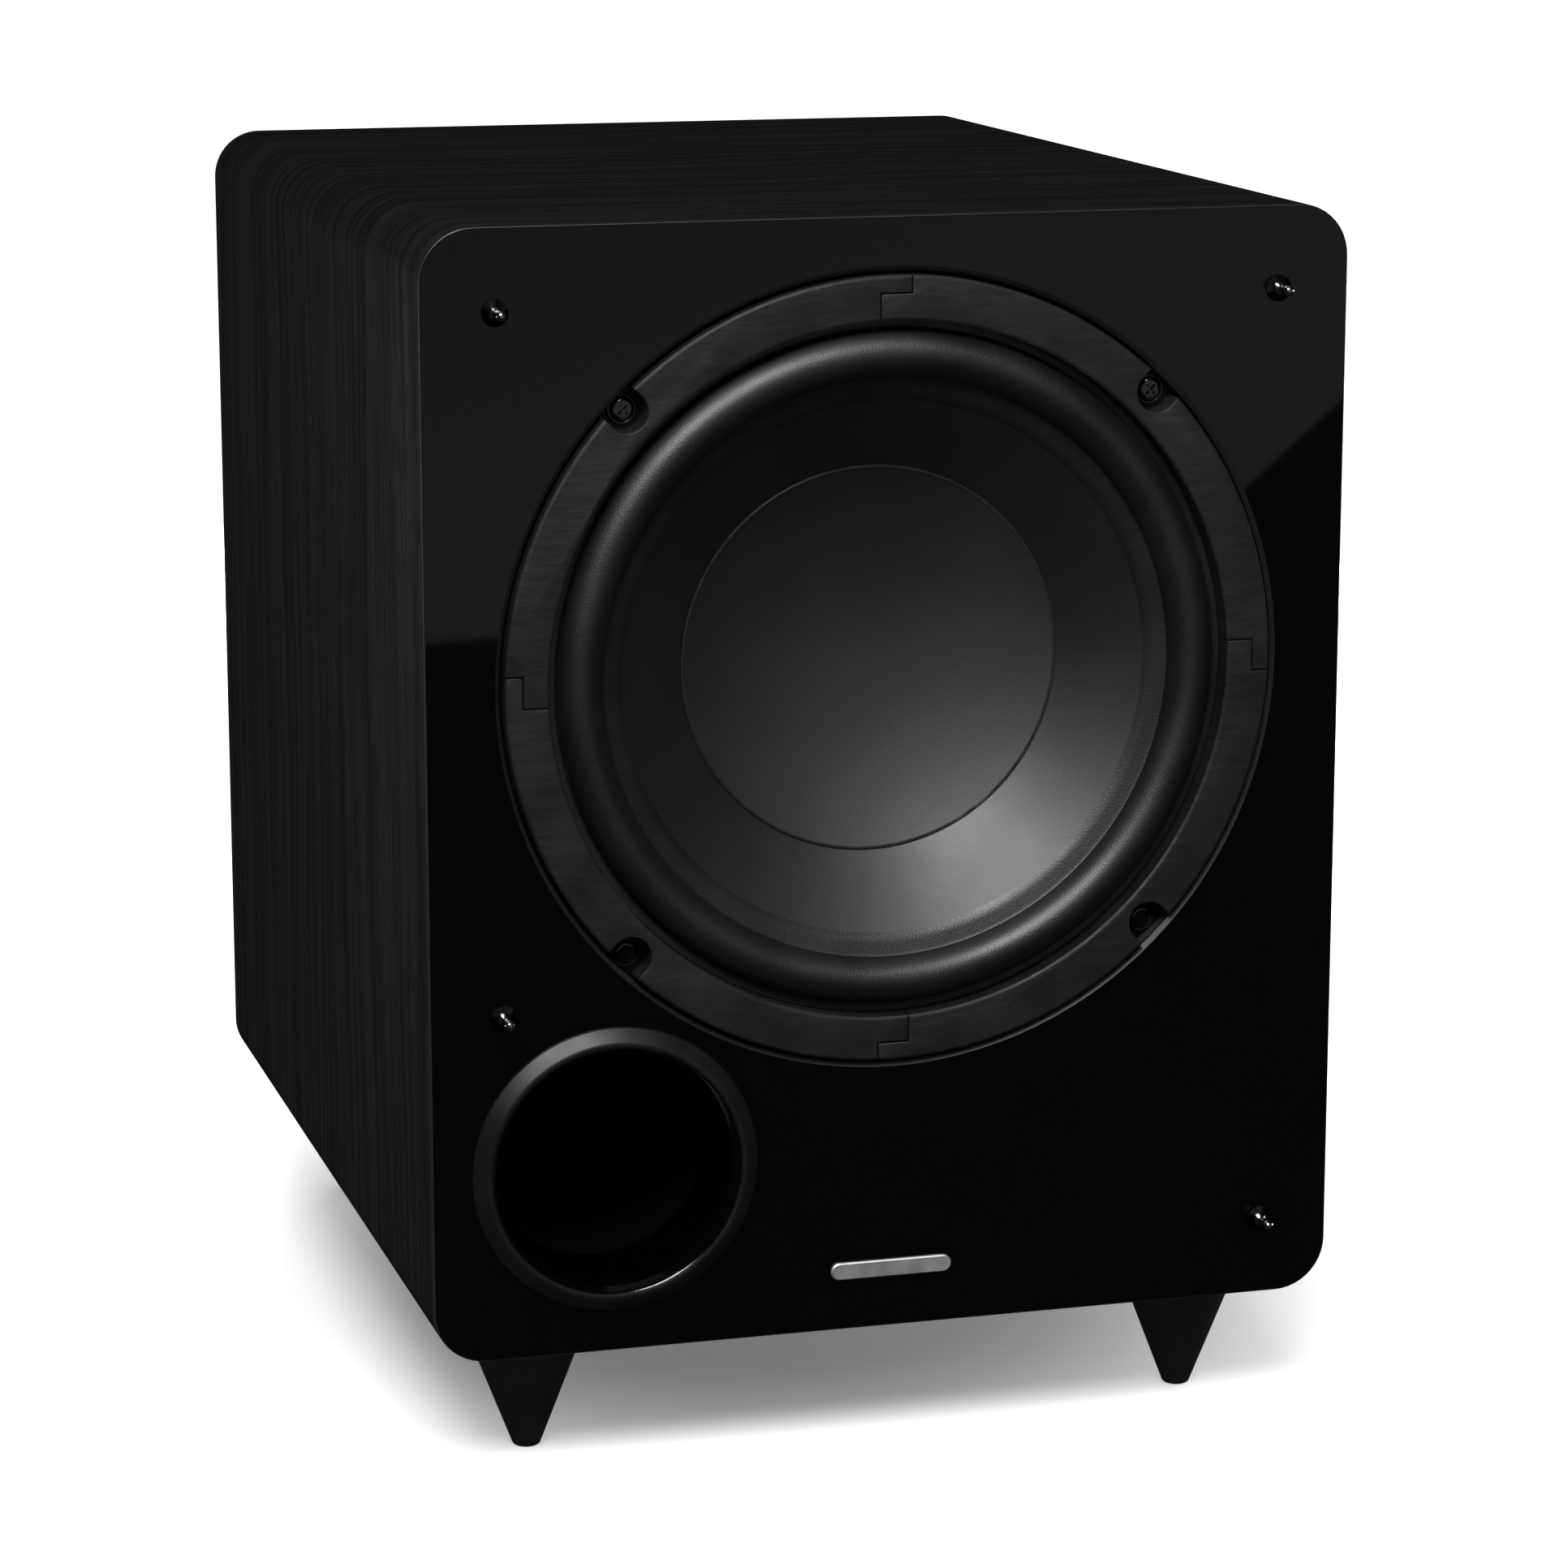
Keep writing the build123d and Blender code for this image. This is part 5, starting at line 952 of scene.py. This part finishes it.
ferrite = finish("ferrite", (0.03, 0.03, 0.034, 1), (0.055, 0.055, 0.06, 1), 0.6, 0.8, fine=700,
                 slow=60, relief=0.00006)
dress(ferrite, "magnet")
phenolic = finish("phenolic", (0.12, 0.045, 0.015, 1), (0.19, 0.08, 0.03, 1), 0.4, 0.6, fine=500,
                  slow=200)
dress(phenolic, "terminal_board")


# -------- port
# A moulded flare: the bevelled rim outside is satin, and the lip that rolls into the throat is
# polished, with its colour made darker from the lip inwards as painted shade in the throat. Its
# spigot centres a tube of black resin-bonded card, coloured darker than card as painted shade, so
# the throat reads black.
PORT_AXIS = (-0.097, 0.109)
RIM_RADIUS = 0.0495
BEVEL_RADIUS = 0.0448
CREST_RADIUS = 0.0430
SPIGOT_RADIUS = 0.0410
THROAT_RADIUS = 0.0390
RIM_LIFT = 0.0008
CREST_LIFT = 0.0042
LIP_DEPTH = 0.0004
SPIGOT_LENGTH = 0.030
POLISH_SHADE_RADIUS = 0.0425
POLISH_SHADE_FADE = 0.001
port_moulding = finish("port_moulding", grey(0.0018), grey(0.0034), 0.38, 0.48, fine=1400, slow=45,
                       relief=0.00003)
polished_and_shaded = port_moulding.node_tree.nodes.new("ShaderNodeMapRange")
polished_and_shaded.inputs["From Min"].default_value = POLISH_SHADE_RADIUS + POLISH_SHADE_FADE
polished_and_shaded.inputs["From Max"].default_value = POLISH_SHADE_RADIUS
join(port_moulding.node_tree, (radius_about(port_moulding, PORT_AXIS), polished_and_shaded.inputs["Value"]))
blend_roughness(port_moulding, polished_and_shaded.outputs[0], 0.07)
# Inside the lip the colour is made darker as painted shade in the throat; the lower roughness there
# is the real polish.
blend_colour(port_moulding, polished_and_shaded.outputs[0], grey(0.0006))
face_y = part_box("gloss_fascia")[0].y
mouth = [
    (RIM_RADIUS, face_y), (RIM_RADIUS, face_y - RIM_LIFT), (BEVEL_RADIUS, face_y - CREST_LIFT),
    (CREST_RADIUS, face_y - CREST_LIFT), (THROAT_RADIUS, face_y + LIP_DEPTH),
    (THROAT_RADIUS, face_y + SPIGOT_LENGTH), (SPIGOT_RADIUS, face_y + SPIGOT_LENGTH),
    (SPIGOT_RADIUS, face_y),
]
mouth_rounds = [(4, 0.0028), (3, 0.0009), (2, 0.0006), (1, 0.0005)]
piece("port_mouth", turned(mouth, PORT_AXIS, mouth_rounds), "cabinet", "port_plastic",
      port_moulding, "port_flare")
# The tube's colour is darker than black card, as painted shade inside the port.
tube_card = finish("tube_card", grey(0.0004), grey(0.0009), 0.8, 0.9, fine=500, slow=60,
                   relief=0.00005, gloss=0.05)
dress(tube_card, "port_tube")


# -------- pegs and badge
# Four turned brass pegs with a black-chrome plating held the grille. The badge is a plain satin
# aluminium bar with no lettering.
PEG_COLLAR_Y = -0.2066
black_chrome = finish("black_chrome", (0.5, 0.5, 0.51, 1), (0.62, 0.62, 0.63, 1), 0.10, 0.18,
                      metal=1, fine=900, slow=300)
collar = sum_of(black_chrome, "GREATER_THAN", position(black_chrome)["Y"], PEG_COLLAR_Y)
blend_colour(black_chrome, collar, grey(0.05))
dress(black_chrome, "grille_pegs")
badge_metal = finish("badge_metal", (0.82, 0.82, 0.83, 1), (0.92, 0.92, 0.93, 1), 0.5, 0.6,
                     metal=1, fine=300, slow=120)
dress(badge_metal, "badge_bar")


# -------- amplifier plate
# A 3 mm steel plate with a wrinkle powder coat closes the back. Ten black screws hold it, and a
# black anodised heatsink with fifteen upright fins is bolted to it.
DRAWN_LINES = (3000, 3000, 12)
wrinkle_coat = finish("wrinkle_coat", grey(0.010), grey(0.020), 0.45, 0.6, fine=1700, slow=40,
                      relief=0.00012)
dress(wrinkle_coat, "amp_plate")
anodised = finish("anodised", (0.018, 0.018, 0.020, 1), (0.032, 0.032, 0.035, 1), 0.28, 0.42,
                  metal=0.6, fine=400, slow=60)
raise_relief(anodised, noise_height(anodised, DRAWN_LINES), 0.00003)
dress(anodised, "heatsink")


# -------- knobs and their marks
# Two moulded knobs with fine flutes and a white index line are pressed on aluminium shafts. White
# printed dots on the plate show where they turn; printed lines frame the switches and jacks.
KNOB_FLUTES = 36
FLUTE_LAND = 0.00012
FLUTE_DEPTH = 0.0005
KNOB_SKIRT = 0.0022
KNOB_ROUND = 0.0012
GROOVE_WIDTH = 0.0006
GROOVE_DEPTH = 0.0004
INDEX_WIDTH = 0.0011
INDEX_SHARE = 0.62
DIAL_DOTS = 11
DIAL_SWING = 300
DIAL_RADIUS = 0.0155
DOT_RADIUS = 0.0007
PRINT = 0.00012

knob_moulding = finish("knob_moulding", grey(0.009), grey(0.014), 0.4, 0.5, fine=1500, slow=120,
                       relief=0.00002)
print_white = finish("print_white", grey(0.62), grey(0.72), 0.5, 0.65, fine=1500, slow=300)
shaft_metal = finish("shaft_metal", (0.6, 0.6, 0.61, 1), (0.75, 0.75, 0.76, 1), 0.25, 0.4, metal=1,
                     fine=600, slow=200)
dress(shaft_metal, "volume_shaft", "crossover_shaft")


def disc(build, centre, radius, thickness, segments):
    """Adds a short round bar that faces back."""
    bmesh.ops.create_cone(build, cap_ends=True, segments=segments, radius1=radius, radius2=radius,
                          depth=thickness, matrix=Matrix.Translation(centre) @ FACING_BACK)


plate_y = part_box("amp_plate")[1].y
for control in ("volume", "crossover"):
    low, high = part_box(f"{control}_knob")
    centre = (low + high) / 2
    radius = (high.x - low.x) / 2
    build = bmesh.new()
    disc(build, centre, radius, high.y - low.y, KNOB_FLUTES * 2)
    build.normal_update()
    flutes = [face for face in build.faces if abs(face.normal.y) < 0.5][::2]
    bmesh.ops.inset_individual(build, faces=flutes, thickness=FLUTE_LAND, depth=0)
    for face in flutes:
        pushed = -face.normal * FLUTE_DEPTH
        for vertex in face.verts:
            if vertex.co.y < low.y + KNOB_SKIRT * 0.5:
                vertex.co.y = low.y + KNOB_SKIRT
            vertex.co += pushed
    top = max(build.faces, key=lambda face: face.calc_center_median().y)
    round_off(build, list(top.edges), KNOB_ROUND, 3)
    top = max(build.faces, key=lambda face: face.calc_center_median().y)
    bmesh.ops.inset_region(build, faces=[top], thickness=KNOB_ROUND, depth=0)
    bmesh.ops.inset_region(build, faces=[top], thickness=GROOVE_WIDTH, depth=-GROOVE_DEPTH)
    soften(build, 28)
    piece(f"{control}_cap", build, f"{control}_control", "knob_black", knob_moulding,
          f"{control}_knob")

    build = bmesh.new()
    add_block(build, (INDEX_WIDTH, PRINT, radius * INDEX_SHARE),
              (centre.x, high.y - GROOVE_DEPTH + PRINT / 2, centre.z + radius * 0.5))
    piece(f"{control}_index", build, f"{control}_control", "knob_black", print_white)

    build = bmesh.new()
    for number in range(DIAL_DOTS):
        turn = math.radians(-DIAL_SWING / 2 + DIAL_SWING * number / (DIAL_DOTS - 1))
        dot_place = (centre.x + DIAL_RADIUS * math.sin(turn), plate_y + PRINT / 2,
                     centre.z + DIAL_RADIUS * math.cos(turn))
        disc(build, Vector(dot_place), DOT_RADIUS, PRINT, 20)
    piece(f"{control}_dial", build, "cabinet", "amp_black", print_white)

FRAME_LINE = 0.0006


def printed_frame(name, middle_x, middle_z, width, height):
    """A thin printed rectangle round a group of controls."""
    build = bmesh.new()
    for x, z, wide, tall in (
        (0, height / 2, width, FRAME_LINE), (0, -height / 2, width, FRAME_LINE),
        (-width / 2, 0, FRAME_LINE, height), (width / 2, 0, FRAME_LINE, height),
    ):
        add_block(build, (wide, PRINT, tall), (middle_x + x, plate_y + PRINT / 2, middle_z + z))
    piece(name, build, "cabinet", "amp_black", print_white)


printed_frame("jack_frame", 0, 0.276, 0.040, 0.042)
printed_frame("phase_frame", 0.045, 0.284, 0.026, 0.015)
printed_frame("mode_frame", -0.045, 0.284, 0.026, 0.015)


# -------- slide switches
# Two small slide switches, for phase and for mode. Each has a moulded black lever in a plated
# steel body behind a slot in the plate.
lever_black = finish("lever_black", grey(0.012), grey(0.02), 0.35, 0.5, fine=1200, slow=200)
dress(lever_black, "phase_lever", "mode_lever")
dress(zinc, "slide_switches")


# -------- signal jacks and lamp
# Four gold-plated phono jacks have moulded cores, white for left and red for right. A green lamp
# in the plate shows that the amplifier is on.
gold = finish("gold", (0.72, 0.50, 0.18, 1), (0.86, 0.63, 0.26, 1), 0.14, 0.28, metal=1, fine=900,
              slow=200)
dress(gold, "jack_shells", "inlet_prongs")
jack_core = finish("jack_core", grey(0.62), grey(0.72), 0.25, 0.4, fine=1200, slow=200)
blend_colour(jack_core, sum_of(jack_core, "GREATER_THAN", position(jack_core)["X"], 0.0),
             (0.42, 0.012, 0.012, 1))
dress(jack_core, "jack_cores")
lamp_green = finish("lamp_green", (0.02, 0.30, 0.05, 1), (0.04, 0.42, 0.08, 1), 0.1, 0.2, fine=900,
                    slow=200, relief=0.000004)
lamp_shader = tree_of(lamp_green)[1]
lamp_shader.inputs["Emission Color"].default_value = (0.05, 0.8, 0.12, 1)
lamp_shader.inputs["Emission Strength"].default_value = 0.6
dress(lamp_green, "status_lamp")


# -------- power switch and mains inlet
# The rocker, its frame, the inlet and its fuse drawer are black mouldings. The rocker is polished
# and carries a moulded line and ring; the others have a satin spark-eroded face.
socket_moulding = finish("socket_moulding", grey(0.011), grey(0.017), 0.45, 0.6, fine=1800,
                         slow=80, relief=0.00004)
dress(socket_moulding, "rocker_frame", "power_inlet", "fuse_drawer")
rocker_gloss = finish("rocker_gloss", grey(0.008), grey(0.011), 0.12, 0.22, fine=900, slow=120)
dress(rocker_gloss, "power_rocker")

MARK_BAR = (0.0009, 0.0034)
MARK_RING = 0.0019
MARK_RING_BAR = 0.00035
ROCKER_X = 0.045
ON_FACE = ((0.0, 1.0, -0.0075), (0.2037, 0.1410))
OFF_FACE = ((0.0, 0.9592, 0.2828), (0.2050, 0.1302))


def on_rocker(build, points, face):
    """Lays points that were made at the origin, facing back, on a face of the rocker."""
    normal, (y, z) = face
    turn = Vector((0, 1, 0)).rotation_difference(Vector(normal)).to_matrix().to_4x4()
    bmesh.ops.transform(build, matrix=Matrix.Translation((ROCKER_X, y, z)) @ turn, verts=points)


build = bmesh.new()
ring = bmesh.ops.create_circle(build, cap_ends=False, radius=MARK_RING_BAR, segments=8,
                               matrix=Matrix.Translation((MARK_RING, 0, 0)))["verts"]
bmesh.ops.scale(build, vec=(1, PRINT / MARK_RING_BAR, 1), verts=ring)
spin_round(build, build.verts[:] + build.edges[:], (0, 0, 0), 32)
close_up(build)
on_rocker(build, build.verts[:], OFF_FACE)
on_rocker(build, add_block(build, (MARK_BAR[0], 2 * PRINT, MARK_BAR[1]), (0, 0, 0)), ON_FACE)
bmesh.ops.recalc_face_normals(build, faces=build.faces)
soften(build, 50)
piece("rocker_marks", build, "power_control", "rocker_black", print_white)


# -------- electronics inside
# A lacquered glass-epoxy board carries four capacitors. The toroid is wound with copper and taped
# yellow, and two soft red leads run to the driver.
board_lacquer = finish("board_lacquer", (0.012, 0.10, 0.035, 1), (0.02, 0.16, 0.06, 1), 0.2, 0.35,
                       fine=500, slow=160)
dress(board_lacquer, "circuit_board")
capacitor_sleeve = finish("capacitor_sleeve", (0.01, 0.01, 0.022, 1), (0.018, 0.018, 0.04, 1), 0.2,
                          0.35, fine=700, slow=90)
dress(capacitor_sleeve, "capacitors")
toroid_tape = finish("toroid_tape", (0.55, 0.40, 0.05, 1), (0.70, 0.54, 0.09, 1), 0.25, 0.45,
                     fine=300, slow=60)
dress(toroid_tape, "power_transformer")
lead_sheath = finish("lead_sheath", (0.32, 0.012, 0.012, 1), (0.42, 0.02, 0.02, 1), 0.45, 0.6,
                     fine=900, slow=90)
dress(lead_sheath, "speaker_leads")
